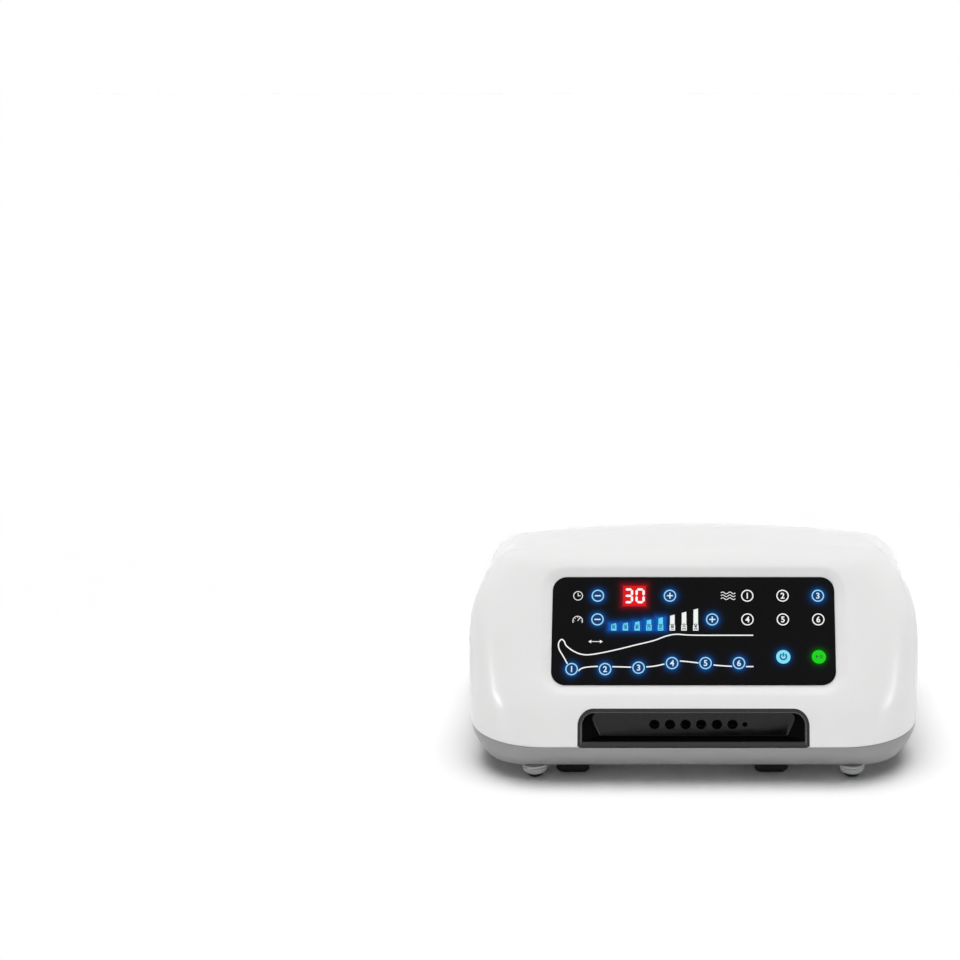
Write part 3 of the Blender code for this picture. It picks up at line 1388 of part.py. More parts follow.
def make_inlet():
    face = plate_face_y + seat_gap
    bm = bmesh.new()
    add_plate(bm, rounded_outline(inlet_flange_width, inlet_flange_height, [rear_corner] * 4,
                                  centre=(-inlet_x, rear_row_z)), face, face + inlet_flange_thickness)
    inlet = mesh_object("mains_inlet", bm, black_matte(), place=rear_frame, smooth=False)
    body = bmesh.new()
    add_box(body, (inlet_x - inlet_body_width / 2, face - inlet_body_depth,
                   rear_row_z - inlet_body_height / 2),
            (inlet_x + inlet_body_width / 2, face + inlet_flange_thickness / 2,
             rear_row_z + inlet_body_height / 2))
    boolean(inlet, mesh_object("inlet_body", body, cutter=True, smooth=False), "UNION")
    mouth = bmesh.new()
    floor = face + inlet_flange_thickness - inlet_mouth_depth
    radius = inlet_mouth_height / 2 - tiny_radius
    add_plate(mouth, rounded_outline(inlet_mouth_width, inlet_mouth_height, [radius] * 4,
                                     centre=(-inlet_x, rear_row_z)), floor, face + deep_overrun)
    boolean(inlet, mesh_object("inlet_mouth", mouth, cutter=True, place=rear_frame, smooth=False))
    pins = bmesh.new()
    for side in (-1, 1):
        x = inlet_x + side * inlet_pin_spread / 2
        add_cylinder(pins, (x, floor - tiny_radius, rear_row_z), (x, floor + inlet_pin_length, rear_row_z),
                     inlet_pin_radius, pin_facets)
    boolean(inlet, mesh_object("inlet_pins", pins, cutter=True, smooth=False), "UNION")


def make_switch():
    """A rocker on a level axle through the middle of its frame."""
    face = plate_face_y + seat_gap
    bm = bmesh.new()
    add_box(bm, (switch_x - switch_frame_width / 2, face, rear_row_z - switch_frame_height / 2),
            (switch_x + switch_frame_width / 2, face + switch_frame_thickness,
             rear_row_z + switch_frame_height / 2))
    frame = mesh_object("switch_frame", bm, black_matte(), smooth=False)
    body = bmesh.new()
    add_box(body, (switch_x - switch_body_width / 2, face - switch_body_depth,
                   rear_row_z - switch_body_height / 2),
            (switch_x + switch_body_width / 2, face + switch_frame_thickness / 2,
             rear_row_z + switch_body_height / 2))
    boolean(frame, mesh_object("switch_body", body, cutter=True, smooth=False), "UNION")
    well_half_x = switch_body_width / 2 - switch_wall
    well_half_z = switch_body_height / 2 - switch_wall
    well = bmesh.new()
    add_box(well, (switch_x - well_half_x, face - switch_body_depth + switch_wall, rear_row_z - well_half_z),
            (switch_x + well_half_x, face + deep_overrun, rear_row_z + well_half_z))
    boolean(frame, mesh_object("switch_well", well, cutter=True, smooth=False))

    axis_y = switch_axis_y()
    half_x = well_half_x - rocker_gap
    half_z = well_half_z - rocker_gap - rocker_rise
    top = face + switch_frame_thickness + rocker_rise - axis_y
    steps = 8
    outline = []
    for step in range(steps + 1):
        z = half_z - 2 * half_z * step / steps
        dip = rocker_rise * (1 - (z / half_z) ** 2) / 2
        outline.append((top - dip, z))
    outline += [(-rocker_depth, -half_z / 3), (-rocker_depth, half_z / 3)]
    bm = bmesh.new()
    add_loft(bm, [[Vector((x, across, up)) for across, up in outline] for x in (-half_x, half_x)])
    turn = Matrix.Translation((switch_x, axis_y, rear_row_z)) @ Matrix.Rotation(rocker_tilt, 4, "X")
    rocker = mesh_object("power_rocker", bm, black_gloss(), smooth=False)
    rocker.matrix_world = turn


def switch_axis_y():
    return plate_face_y + seat_gap - rocker_rise


def make_fuse_holder():
    face = plate_face_y + seat_gap
    bm = bmesh.new()
    add_cylinder(bm, (fuse_x, face - fuse_body_depth, rear_row_z),
                 (fuse_x, face + fuse_cap_rise / 2, rear_row_z), fuse_body_radius, cap_facets)
    holder = mesh_object("fuse_holder", bm, black_matte())
    cap = bmesh.new()
    add_cylinder(cap, (fuse_x, face, rear_row_z), (fuse_x, face + fuse_cap_rise, rear_row_z),
                 fuse_cap_radius, cap_facets,
                 fuse_cap_radius - fuse_slot_depth)
    collar = mesh_object("fuse_collar", cap, cutter=True, smooth=False)
    boolean(holder, collar, "UNION")
    slot = bmesh.new()
    add_box(slot, (fuse_x - fuse_cap_radius, face + fuse_cap_rise - fuse_slot_depth,
                   rear_row_z - fuse_slot_width / 2),
            (fuse_x + fuse_cap_radius, face + fuse_cap_rise + overrun, rear_row_z + fuse_slot_width / 2))
    boolean(holder, mesh_object("fuse_slot", slot, cutter=True, smooth=False))


def make_filter(plate):
    """A foam plug in a cup on the back of the rear plate, under a slotted cover."""
    face = plate_face_y + seat_gap
    cup_low = plate_back_y - filter_depth
    spin = Matrix.Translation((filter_x, 0.0, rear_row_z)) @ rear_frame
    outer = filter_radius
    inner = filter_radius - filter_cup_wall
    cover = turned("filter_cover", [(0.0, face + filter_cover_rise),
                                    (filter_cover_radius - filter_cover_rise, face + filter_cover_rise),
                                    (filter_cover_radius, face + filter_cover_rise / 2),
                                    (filter_cover_radius, face), (0.0, face)],
                   grey_satin(), spin)
    slots = bmesh.new()
    for i in range(filter_slot_count):
        up = (i - (filter_slot_count - 1) / 2) * filter_slot_pitch
        reach = math.sqrt(inner ** 2 - up ** 2) - filter_cup_wall
        add_box(slots, (filter_x - reach, face - overrun, rear_row_z + up - filter_slot_width / 2),
                (filter_x + reach, face + 2 * overrun, rear_row_z + up + filter_slot_width / 2))
    boolean(cover, mesh_object("filter_slots", slots, cutter=True, smooth=False))
    floor = cup_low + filter_cup_wall
    tail = cup_low - barb_length
    half_wall = (plate_back_y + plate_face_y) / 2
    cup = turned("filter_cup", [(0.0, half_wall), (outer, half_wall), (outer, cup_low),
                                (barb_radius, cup_low),
                                (barb_radius, tail), (0.0, tail)], None, spin, cutter=True)
    boolean(plate, cup, "UNION")
    hollow = turned("filter_hollow", [(0.0, plate_face_y + overrun), (inner, plate_face_y + overrun),
                                      (inner, floor),
                                      (air_bore_radius, floor), (air_bore_radius, tail - overrun),
                                      (0.0, tail - overrun)], None, spin, cutter=True)
    boolean(plate, hollow)
    foam_low = floor + seat_gap
    turned("air_filter", [(0.0, plate_face_y - filter_cup_wall),
                          (inner - seat_gap, plate_face_y - filter_cup_wall),
                          (inner - seat_gap, foam_low), (0.0, foam_low)], filter_foam(), spin)


make_upper_shell()
make_base_shell()
make_panel_pieces()
make_keys()
make_hose_bay()
make_outlet_block()
make_feet()
make_screws()
make_pump_cradle()
make_air_pump()
make_distributor()
make_hoses()
make_boards()
make_filter(make_rear_plate())
make_inlet()
make_switch()
make_fuse_holder()
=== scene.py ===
"""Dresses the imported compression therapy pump: shells, lit key panel, bay, feet and rear side."""
import json
import math

import bmesh
import bpy
from mathutils import Matrix, Vector


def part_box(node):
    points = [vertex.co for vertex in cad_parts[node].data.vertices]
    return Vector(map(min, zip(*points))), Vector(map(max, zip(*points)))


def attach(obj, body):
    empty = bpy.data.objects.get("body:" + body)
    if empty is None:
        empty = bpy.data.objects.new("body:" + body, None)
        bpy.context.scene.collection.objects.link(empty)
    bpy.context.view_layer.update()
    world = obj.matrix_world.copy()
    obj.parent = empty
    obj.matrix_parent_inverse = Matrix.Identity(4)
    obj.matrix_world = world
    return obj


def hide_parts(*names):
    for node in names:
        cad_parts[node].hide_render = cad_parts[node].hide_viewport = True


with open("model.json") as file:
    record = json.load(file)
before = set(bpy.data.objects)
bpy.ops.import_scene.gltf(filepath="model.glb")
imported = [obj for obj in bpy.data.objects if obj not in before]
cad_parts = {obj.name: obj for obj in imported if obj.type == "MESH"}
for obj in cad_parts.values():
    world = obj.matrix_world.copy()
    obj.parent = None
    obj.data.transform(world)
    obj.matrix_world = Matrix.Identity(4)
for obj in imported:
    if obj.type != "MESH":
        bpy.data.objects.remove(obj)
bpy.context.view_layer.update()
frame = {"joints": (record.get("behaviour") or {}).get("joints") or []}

# The image, and the camera that fits it: it looks down at the pump from the front
image_size = 960
target = Vector((0.0, 0.0, 0.070))
camera_distance = 1.030
camera_elevation = math.radians(20.0)
focal_pixels = 1603.0
target_column = 693.5
target_row = 618.6
sensor_width = 36.0

# Case outline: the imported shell's curves, with fuller lower corners of the base
half_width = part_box("upper_shell")[1].x
back_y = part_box("upper_shell")[1].y
front_y = -back_y
seam_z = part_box("upper_shell")[0].z
base_rim_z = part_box("base_shell")[1].z
base_floor_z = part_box("base_shell")[0].z
belly_z = 0.066
shoulder_z = 0.1226
brow_z = 0.119
roof_z = 0.128
shell_wall = 0.0025
seam_inset = 0.0010
side_curve_height = 0.087
roof_sag = 0.0064
base_taper = 0.0105
front_corner_low = 0.050
front_corner_high = 0.026
back_corner_low = 0.032
back_corner_high = 0.018
chin_lean = math.radians(26.0)
panel_lean = math.radians(34.0)
chin_end_z = 0.042
panel_start_z = 0.051
side_curve_power = 2.6
brow_power = 4.5
back_power = 2.2
base_taper_power = 1.8
base_corner_floor = 0.028

# Fine steps of the shell's grid
corner_front_steps = 44
corner_back_steps = 20
front_steps = 210
side_steps = 44
back_steps = 180
wall_rows = 136
roof_rows = 34
brow_rows = 7
brow_passes = 16
base_rows = 22

# Tray and panel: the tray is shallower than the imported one
panel_centre_z = 0.0857
panel_width = 0.171
panel_height = 0.0672
panel_radius = 0.0086
panel_edge = 0.0004
panel_edge_steps = 4
tray_gap = 0.0007
tray_depth = 0.0023
tray_bevel = 0.00565
tray_outer_round = 0.0002
tray_inner_round = 0.0004
tray_seat = 0.0020
panel_top = -0.0017
panel_back = -0.0031
key_top = -0.0015
print_lift = 0.00003

# Keys: their packed places across and up the panel, their caps, rings and glow
key_radius = 0.0040
key_hole_radius = 0.0043
key_facets = 48
key_edge = 0.00025
key_flange_width = 0.0010
key_flange_thickness = 0.0006
key_flange_drop = 0.0009
number_weight = 0.00012
digit_share = 0.73
ring_width = 0.00068
ring_edge = 0.00025
key_glow_reach = 0.0011
bar_glow_reach = 0.0012
upper_row = 0.0217
lower_row = 0.0069
power_row = -0.0161
chamber_rows = (-0.0238, -0.0238, -0.0229, -0.0201, -0.0201, -0.0201)
minus_x = -0.0580
time_plus_x = -0.0143
pressure_plus_x = 0.0113
mode_first_x = 0.0326
mode_pitch = 0.0214
chamber_first_x = -0.0731
chamber_pitch = 0.02008

# Readouts
display_x = -0.0359
display_width = 0.0145
display_height = 0.0131
digit_width = 0.0056
digit_height = 0.0094
digit_pitch = 0.0070
segment_width = 0.0014
bar_count = 8
lit_bars = 5
bar_width = 0.0033
bar_pitch = 0.00708
bar_first_x = -0.0482
bar_short = 0.0049
bar_tall = 0.0140
bar_growth_power = 1.6
bar_slant = 0.0008
bar_step = 30

# Hose bay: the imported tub, with tighter upper corners
bay_width = 0.1380
bay_top_z = 0.0457
bay_corner = 0.0094
bay_lip = 0.0028
bay_floor_rise = 0.0024
bay_back_y = -0.0890
bay_rear_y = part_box("hose_bay")[1].y
bay_proud = 0.0003
# Depth behind the lip past which the tub's sides and floor take a painted shade, then the band across the
# bead that takes a thin painted highlight line
bay_shade_start_depth = 0.0007
bay_highlight_near = -0.0017
bay_highlight_far = -0.0024
bay_side_start = 0.0010
bay_foot_corner = 0.0006
bay_draft_top = 0.0040
bay_draft_low = 0.0110
outlet_count = 6
outlet_pitch = 0.00933
outlet_radius = 0.0031
outlet_z = 0.0350
locator_x = 0.0307
locator_radius = 0.0015

# Underside: screw sinks, feet and soft pads
screw_places = [(x, y) for y in (-0.062, 0.062) for x in (-0.112, 0.112)]
screw_sink = 0.0050
screw_sink_radius = 0.0033
foot_names = [f"foot_{end}_{side}" for end in ("front", "rear") for side in ("left", "right")]
foot_radius = 0.0078
foot_waist = 0.0058
foot_rise = 0.0013
foot_stem_radius = 0.0013
foot_tip_radius = 0.0054
foot_tip_z = 0.0030
pad_half_x = 0.0100
pad_half_y = 0.0070
pad_inset_y = 0.0075
pad_neck_radius = 0.0042
pad_hole_radius = 0.0046
cradle_thickness = 0.0015

# Rear side
pocket_half_width = 0.092
pocket_low_z = 0.029
pocket_high_z = 0.072
pocket_corner = 0.004
pocket_floor_y = 0.0860
pocket_round = 0.0007
plate_face_y = 0.0885
plate_back_y = 0.0863
rear_row_z = 0.050
vent_count = 9
vent_width = 0.0020
vent_height = 0.0240
vent_pitch = 0.0048
vent_first_x = -0.0460
plate_edge = 0.0004
rear_edge = 0.0005
overlap = 0.0001
overrun = 0.0020
inlet_x = 0.0720
inlet_size = (0.0300, 0.0200)
inlet_flange = 0.0022
inlet_hole_half = (0.0113, 0.0066)
inlet_body_half = (0.0110, 0.00625)
inlet_body_start = 0.0062
inlet_corner = 0.0040
inlet_pin_start = 0.0148
inlet_pin_profile = ((0.0, 0.0), (0.0012, 0.0), (0.0012, 0.0074), (0.0009, 0.0081), (0.0005, 0.0083),
                     (0.0, 0.0083))
inlet_pin_x = 0.0043
switch_x = 0.0360
switch_size = (0.0150, 0.0210)
switch_flange = 0.0020
switch_corner = 0.0015
switch_hole_half = (0.0066, 0.0096)
switch_body_half = (0.00625, 0.00925)
switch_well_half = (0.00505, 0.00805)
switch_well_floor = 0.0012
rocker_half_x = 0.00465
rocker_half_z = 0.00585
rocker_dish = 0.0018
rocker_depth = 0.0060
rocker_rise = 0.0020
rocker_edge = 0.0005
rocker_tilt = math.radians(9.0)
rocker_mark_lift = 0.00006
rocker_stroke_half = (0.0002, 0.0012)
rocker_ring_radii = (0.0013, 0.0009)
fuse_x = 0.0090
fuse_hole_radius = 0.0058
fuse_body_radius = 0.0055
fuse_cap_profile = ((0.0068, 0.0), (0.0068, 0.35), (0.0064, 0.4), (0.0058, 0.85), (0.0053, 1.0), (0.0, 1.0))
fuse_slot_half = (0.0080, 0.0007)
fuse_slot_depth = 0.0012
fuse_ribs = 20
fuse_rib_place = 0.0072
fuse_rib_radius = 0.0006
filter_x = -0.0700
filter_slot_count = 5
filter_slot_pitch = 0.0045
filter_slot_width = 0.0018
filter_slot_round = 0.00088
filter_slot_margin = 0.0015
filter_opening = 0.0135
filter_cup_profile = ((0.0, 0.0), (0.0022, 0.0), (0.0022, 0.005), (0.015, 0.005), (0.015, 0.0185),
                      (0.0135, 0.0185), (0.0135, 0.0065), (0.0011, 0.0065), (0.0, 0.0065))
seat_gap = 0.0003

# Studio light: strengths of the surroundings, where each zone fades, and the two strip lights
side_strength = 3.5
front_strength = 2.35
high_strength = 0.05
back_share = 0.3
key_strength = 4.8
key_direction = (0.0, 0.12, 1.0)
side_zone = (0.15, 0.75)
low_zone = (0.04, 0.30)
back_zone = (-0.20, 0.40)
key_zone = (0.84, 0.95)
strip_places = {"left_light": (-1.45, -0.70, 0.42), "right_light": (1.45, -0.70, 0.42)}
strip_aim = (0.0, 0.0, 0.05)
strip_size = (0.40, 0.12)
strip_power = 8.0


# Curves of the case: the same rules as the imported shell, read at finer steps
def front_y_at(z):
    """The middle of the front: the chin's lean below, the panel's lean above, a bend between."""
    chin, panel = math.tan(chin_lean), math.tan(panel_lean)
    if z <= chin_end_z:
        return front_y + (z - seam_z) * chin
    bend = panel_start_z - chin_end_z
    bend_start_y = front_y + (chin_end_z - seam_z) * chin
    if z <= panel_start_z:
        part = z - chin_end_z
        return bend_start_y + chin * part + (panel - chin) * part * part / (2 * bend)
    return bend_start_y + (chin + panel) / 2 * bend + (z - panel_start_z) * panel


def back_y_at(z):
    rise = (z - seam_z) / (roof_z - seam_z)
    return back_y * (1 - rise ** back_power) ** (1 / back_power)


def half_width_at(z):
    if z < belly_z:
        return half_width - seam_inset * ((belly_z - z) / (belly_z - seam_z)) ** 2
    return half_width * math.sqrt(1 - ((z - belly_z) / side_curve_height) ** side_curve_power)


def roof_z_at(x, y):
    """The roof: a quick bend up from the brow, an arch across, a long fall to the back."""
    brow_y = front_y_at(brow_z)
    if y < 0:
        height = roof_z - (roof_z - brow_z) * abs(y / brow_y) ** brow_power
    else:
        height = seam_z + (roof_z - seam_z) * (1 - min(y / back_y, 1) ** back_power) ** (1 / back_power)
    share = min(max((y - brow_y) / -brow_y, 0.0), 1.0)
    spread = share * share * (3 - 2 * share)
    return height - spread * roof_sag * (x / half_width_at(shoulder_z)) ** 2


def ring_plan(half, front, back, front_corner, back_corner):
    """Plan of the case at one level: four round corners with stepped straights between."""
    corners = ((half - back_corner, back - back_corner, back_corner, corner_back_steps),
               (back_corner - half, back - back_corner, back_corner, corner_back_steps),
               (front_corner - half, front + front_corner, front_corner, corner_front_steps),
               (half - front_corner, front + front_corner, front_corner, corner_front_steps))
    straights = (back_steps, side_steps, front_steps, side_steps)
    points = []
    for turn, (middle_x, middle_y, radius, steps) in enumerate(corners):
        for step in range(steps + 1):
            angle = math.pi / 2 * (turn + step / steps)
            points.append((middle_x + radius * math.cos(angle), middle_y + radius * math.sin(angle)))
        next_x, next_y, next_radius, _ = corners[(turn + 1) % 4]
        angle = math.pi / 2 * (turn + 1)
        start = points[-1]
        end = (next_x + next_radius * math.cos(angle), next_y + next_radius * math.sin(angle))
        for step in range(1, straights[turn]):
            share = step / straights[turn]
            points.append((start[0] + (end[0] - start[0]) * share, start[1] + (end[1] - start[1]) * share))
    return points


def case_plan(level):
    """Plan of the upper shell at a level from 0 at the seam to 1 at the shoulder."""
    half = half_width_at(seam_z + (shoulder_z - seam_z) * level)
    nominal_z = seam_z + (brow_z - seam_z) * level
    return ring_plan(half, front_y_at(nominal_z), back_y_at(nominal_z),
                     front_corner_low + (front_corner_high - front_corner_low) * level,
                     back_corner_low + (back_corner_high - back_corner_low) * level)


panel_origin = Vector((0.0, front_y_at(panel_centre_z), panel_centre_z))
panel_up = Vector((0.0, math.sin(panel_lean), math.cos(panel_lean)))
panel_out = Vector((0.0, -math.cos(panel_lean), math.sin(panel_lean)))
panel_frame = Matrix.Translation(panel_origin) @ Matrix((
    (1.0, 0.0, 0.0, 0.0),
    (0.0, panel_up.y, panel_out.y, 0.0),
    (0.0, panel_up.z, panel_out.z, 0.0),
    (0.0, 0.0, 0.0, 1.0)))


# Mesh helpers
def add_piece(name, mesh, looks, body="case", stands_for=()):
    """Links a mesh as a piece of the object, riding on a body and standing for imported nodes."""
    piece = bpy.data.objects.new(name, mesh)
    bpy.context.scene.collection.objects.link(piece)
    for look in looks:
        mesh.materials.append(materials[look])
    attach(piece, body)
    if stands_for:
        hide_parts(*stands_for)
    return piece


def mesh_of(name, bm, place=None):
    if place is not None:
        bmesh.ops.transform(bm, matrix=place, verts=bm.verts)
    bmesh.ops.recalc_face_normals(bm, faces=bm.faces)
    mesh = bpy.data.meshes.new(name)
    bm.to_mesh(mesh)
    bm.free()
    return mesh


def smooth(mesh, angle=32.0):
    mesh.shade_smooth()
    mesh.set_sharp_from_angle(angle=math.radians(angle))
    return mesh


def carve(mesh, *cutters):
    """Cuts the cutter meshes away from a mesh."""
    body = bpy.data.objects.new("carved", mesh)
    bpy.context.scene.collection.objects.link(body)
    tools = []
    for cutter in cutters:
        tool = bpy.data.objects.new("tool", cutter)
        bpy.context.scene.collection.objects.link(tool)
        tools.append(tool)
        modifier = body.modifiers.new("carve", "BOOLEAN")
        modifier.operation = "DIFFERENCE"
        modifier.object = tool
    bpy.context.view_layer.update()
    depsgraph = bpy.context.evaluated_depsgraph_get()
    carved = bpy.data.meshes.new_from_object(body.evaluated_get(depsgraph))
    for used in [body] + tools:
        bpy.data.objects.remove(used, do_unlink=True)
    carved.materials.clear()
    return carved


def loft(bm, loops, closed=True):
    """Quads between loops of equal length, with caps at both ends where it is closed."""
    rings = [[bm.verts.new(point) for point in loop] for loop in loops]
    for lower, upper in zip(rings, rings[1:]):
        for i in range(len(lower)):
            j = (i + 1) % len(lower)
            bm.faces.new((lower[i], lower[j], upper[j], upper[i]))
    if closed:
        bm.faces.new(list(reversed(rings[0])))
        bm.faces.new(rings[-1])
    return rings


def add_box(bm, low, high):
    low, high = Vector(low), Vector(high)
    made = bmesh.ops.create_cube(bm, size=1.0)
    size = high - low
    move = Matrix.Translation((low + high) / 2) @ Matrix.Diagonal((size.x, size.y, size.z, 1.0))
    bmesh.ops.transform(bm, matrix=move, verts=made["verts"])


def add_cylinder(bm, start, end, radius, facets=key_facets):
    start, end = Vector(start), Vector(end)
    run = end - start
    made = bmesh.ops.create_cone(bm, cap_ends=True, cap_tris=False, segments=facets, radius1=radius,
                                 radius2=radius, depth=run.length)
    turn = Vector((0, 0, 1)).rotation_difference(run).to_matrix().to_4x4()
    bmesh.ops.transform(bm, matrix=Matrix.Translation((start + end) / 2) @ turn, verts=made["verts"])


def lathe(bm, profile, place, facets=key_facets, slot_from=None):
    """A turned solid about local Z; profile is (radius, height) from one pole to the other.

    Rows from slot_from on take the second material."""
    rings = []
    for radius, height in profile:
        if radius == 0.0:
            rings.append([bm.verts.new((0.0, 0.0, height))])
            continue
        rings.append([bm.verts.new((radius * math.cos(math.tau * i / facets),
                                    radius * math.sin(math.tau * i / facets), height))
                      for i in range(facets)])
    for row, (a, b) in enumerate(zip(rings, rings[1:])):
        for i in range(facets):
            j = (i + 1) % facets
            corners = [a[i % len(a)], a[j % len(a)], b[j % len(b)], b[i % len(b)]]
            corners = [v for k, v in enumerate(corners) if v not in corners[:k]]
            face = bm.faces.new(corners)
            if slot_from is not None and row >= slot_from:
                face.material_index = 1
    bmesh.ops.transform(bm, matrix=place, verts=[v for ring in rings for v in ring])


def arc(centre, radius, start, end, steps):
    """Points of (radius, height) on an arc, angles in degrees."""
    return [(centre[0] + radius * math.cos(math.radians(start + (end - start) * i / steps)),
             centre[1] + radius * math.sin(math.radians(start + (end - start) * i / steps)))
            for i in range(steps + 1)]


def rounded_outline(width, height, radii, steps=12, centre=(0.0, 0.0)):
    """A rectangle with one corner radius, or four from the upper right one counterclockwise."""
    if isinstance(radii, float):
        radii = (radii,) * 4
    points = []
    signs = ((1, 1), (-1, 1), (-1, -1), (1, -1))
    for turn, (sign, radius) in enumerate(zip(signs, radii)):
        middle_x = centre[0] + sign[0] * (width / 2 - radius)
        middle_y = centre[1] + sign[1] * (height / 2 - radius)
        for step in range(steps + 1):
            angle = math.pi / 2 * (turn + step / steps)
            points.append((middle_x + radius * math.cos(angle), middle_y + radius * math.sin(angle)))
    return points


def flat_loop(outline, level):
    return [Vector((x, y, level)) for x, y in outline]


def rounded_distance(x, y, half_x, half_y, radius):
    """Signed distance to a rounded rectangle, below 0 inside."""
    across, up = abs(x) - half_x + radius, abs(y) - half_y + radius
    return math.hypot(max(across, 0.0), max(up, 0.0)) + min(max(across, up), 0.0) - radius


def soft_plus(value, width):
    return (value + math.sqrt(value * value + width * width)) / 2


# White shell
def round_brow(rows, middle):
    """Rounds the crease between the leaning front and the roof by passes over nearby rows."""
    for _ in range(brow_passes):
        fresh = {}
        for i in range(middle - brow_rows, middle + brow_rows + 1):
            fresh[i] = [(a + b * 2 + c) / 4 for a, b, c in zip(rows[i - 1], rows[i], rows[i + 1])]
        for i, row in fresh.items():
            rows[i] = row


def tray_reach(point):
    """Distance past the tray's inner outline on the leaning front, below 0 inside it."""
    up = (point - panel_origin).dot(panel_up)
    return rounded_distance(point.x, up, panel_width / 2 + tray_gap, panel_height / 2 + tray_gap,
                            panel_radius + tray_gap)


def sink_tray(point):
    """Presses the tray for the panel into the front, with soft inner and outer edges."""
    reach = tray_reach(point)
    out = (point - panel_origin).dot(panel_out)
    if point.y > 0 or reach > 4 * tray_bevel:
        return point
    rise = tray_depth / tray_bevel
    floor = rise * soft_plus(reach, tray_inner_round) - tray_depth
    lower = out - soft_plus(out - floor, tray_outer_round)
    return point + panel_out * (lower - out)


def bay_reach(point):
    """Distance past the hose bay's outline on the front, below 0 inside it."""
    return rounded_distance(point.x, point.z - bay_top_z + bay_width, bay_width / 2, bay_width, bay_corner)


def pocket_reach(x, z):
    middle = (pocket_low_z + pocket_high_z) / 2
    half_height = (pocket_high_z - pocket_low_z) / 2
    return rounded_distance(x, z - middle, pocket_half_width, half_height, pocket_corner)


def back_surface_y(x, z):
    """The back's surface at a place across and up, within its straight stretch."""
    top_y = back_y_at(brow_z)
    top_z = roof_z_at(x, top_y)
    level = (z - seam_z) / (top_z - seam_z)
    return back_y_at(seam_z + (brow_z - seam_z) * level)


def make_shell():
    top = case_plan(1.0)
    top_heights = [roof_z_at(x, y) for x, y in top]
    rows = []
    for i in range(wall_rows + 1):
        level = i / wall_rows
        rows.append([Vector((x, y, seam_z + (height - seam_z) * level))
                     for (x, y), height in zip(case_plan(level), top_heights)])
    middle_y = (max(y for x, y in top) + min(y for x, y in top)) / 2
    for i in range(1, roof_rows):
        share = 1 - i / roof_rows
        ring = [(x * share, middle_y + (y - middle_y) * share) for x, y in top]
        rows.append([Vector((x, y, roof_z_at(x, y))) for x, y in ring])
    round_brow(rows, wall_rows)
    rows = [[sink_tray(point) for point in row] for row in rows]
    bm = bmesh.new()
    grid = loft(bm, rows, closed=False)
    crown = bm.verts.new((0.0, middle_y, roof_z_at(0.0, middle_y)))
    last = grid[-1]
    for i in range(len(last)):
        bm.faces.new((last[i], last[(i + 1) % len(last)], crown))
    cut_front_openings(bm)
    cut_rear_pocket(bm)
    mesh = smooth(mesh_of("white_shell", bm), 40.0)
    shell = add_piece("white_shell", mesh, ["white_gloss"], stands_for=["upper_shell"])
    wall = shell.modifiers.new("wall", "SOLIDIFY")
    wall.thickness = shell_wall
    wall.offset = -1.0


def cut_front_openings(bm):
    """Opens the shell behind the hose bay's lip and behind the key panel."""
    def hidden(face):
        centre = face.calc_center_median()
        behind_bay = centre.y < -bay_width / 2 and bay_reach(centre) < -bay_lip / 2
        behind_panel = centre.y < 0 and tray_reach(centre) < -tray_seat
        return behind_bay or behind_panel
    bmesh.ops.delete(bm, geom=[face for face in bm.faces if hidden(face)], context="FACES")


def cut_rear_pocket(bm):
    """Opens the back along the pocket's outline and rolls its edge in to the pocket's floor."""
    def inside(face):
        centre = face.calc_center_median()
        return centre.y > back_y / 2 and pocket_reach(centre.x, centre.z) < pocket_round
    bmesh.ops.delete(bm, geom=[face for face in bm.faces if inside(face)], context="FACES")
    rim = [edge for edge in bm.edges if edge.is_boundary and min(v.co.y for v in edge.verts) > back_y / 2
           and min(v.co.z for v in edge.verts) > seam_z + seat_gap]
    probe = pocket_round / 10
    for vert in {v for edge in rim for v in edge.verts}:
        x, z = vert.co.x, vert.co.z
        for _ in range(3):
            reach = pocket_reach(x, z)
            slope_x = (pocket_reach(x + probe, z) - pocket_reach(x - probe, z)) / (2 * probe)
            slope_z = (pocket_reach(x, z + probe) - pocket_reach(x, z - probe)) / (2 * probe)
            x -= slope_x * (reach - pocket_round)
            z -= slope_z * (reach - pocket_round)
        vert.co = Vector((x, back_surface_y(x, z), z))
    steps = 4
    for step in range(1, steps + 2):
        made = bmesh.ops.extrude_edge_only(bm, edges=rim)
        fresh = [item for item in made["geom"] if isinstance(item, bmesh.types.BMVert)]
        rim = [item for item in made["geom"] if isinstance(item, bmesh.types.BMEdge)]
        for vert in fresh:
            x, z = vert.co.x, vert.co.z
            if step > steps:
                vert.co.y = pocket_floor_y
                continue
            before, after = (math.radians(90 * (step - 1) / steps), math.radians(90 * step / steps))
            inward = pocket_round * (math.cos(before) - math.cos(after))
            slope_x = (pocket_reach(x + probe, z) - pocket_reach(x - probe, z)) / (2 * probe)
            slope_z = (pocket_reach(x, z + probe) - pocket_reach(x, z - probe)) / (2 * probe)
            drop = pocket_round * (math.sin(after) - math.sin(before))
            vert.co = Vector((x - slope_x * inward, vert.co.y - drop, z - slope_z * inward))


# Grey base
def base_plan(share, inset=0.0):
    """The base follows the shell's foot and draws in towards the ground."""
    taper = base_taper * share ** base_taper_power + inset
    half = half_width_at(seam_z)
    fuller = share ** base_taper_power
    return ring_plan(half - taper, front_y + taper, back_y - taper,
                     front_corner_low + (base_corner_floor - front_corner_low) * fuller - inset,
                     back_corner_low - taper)


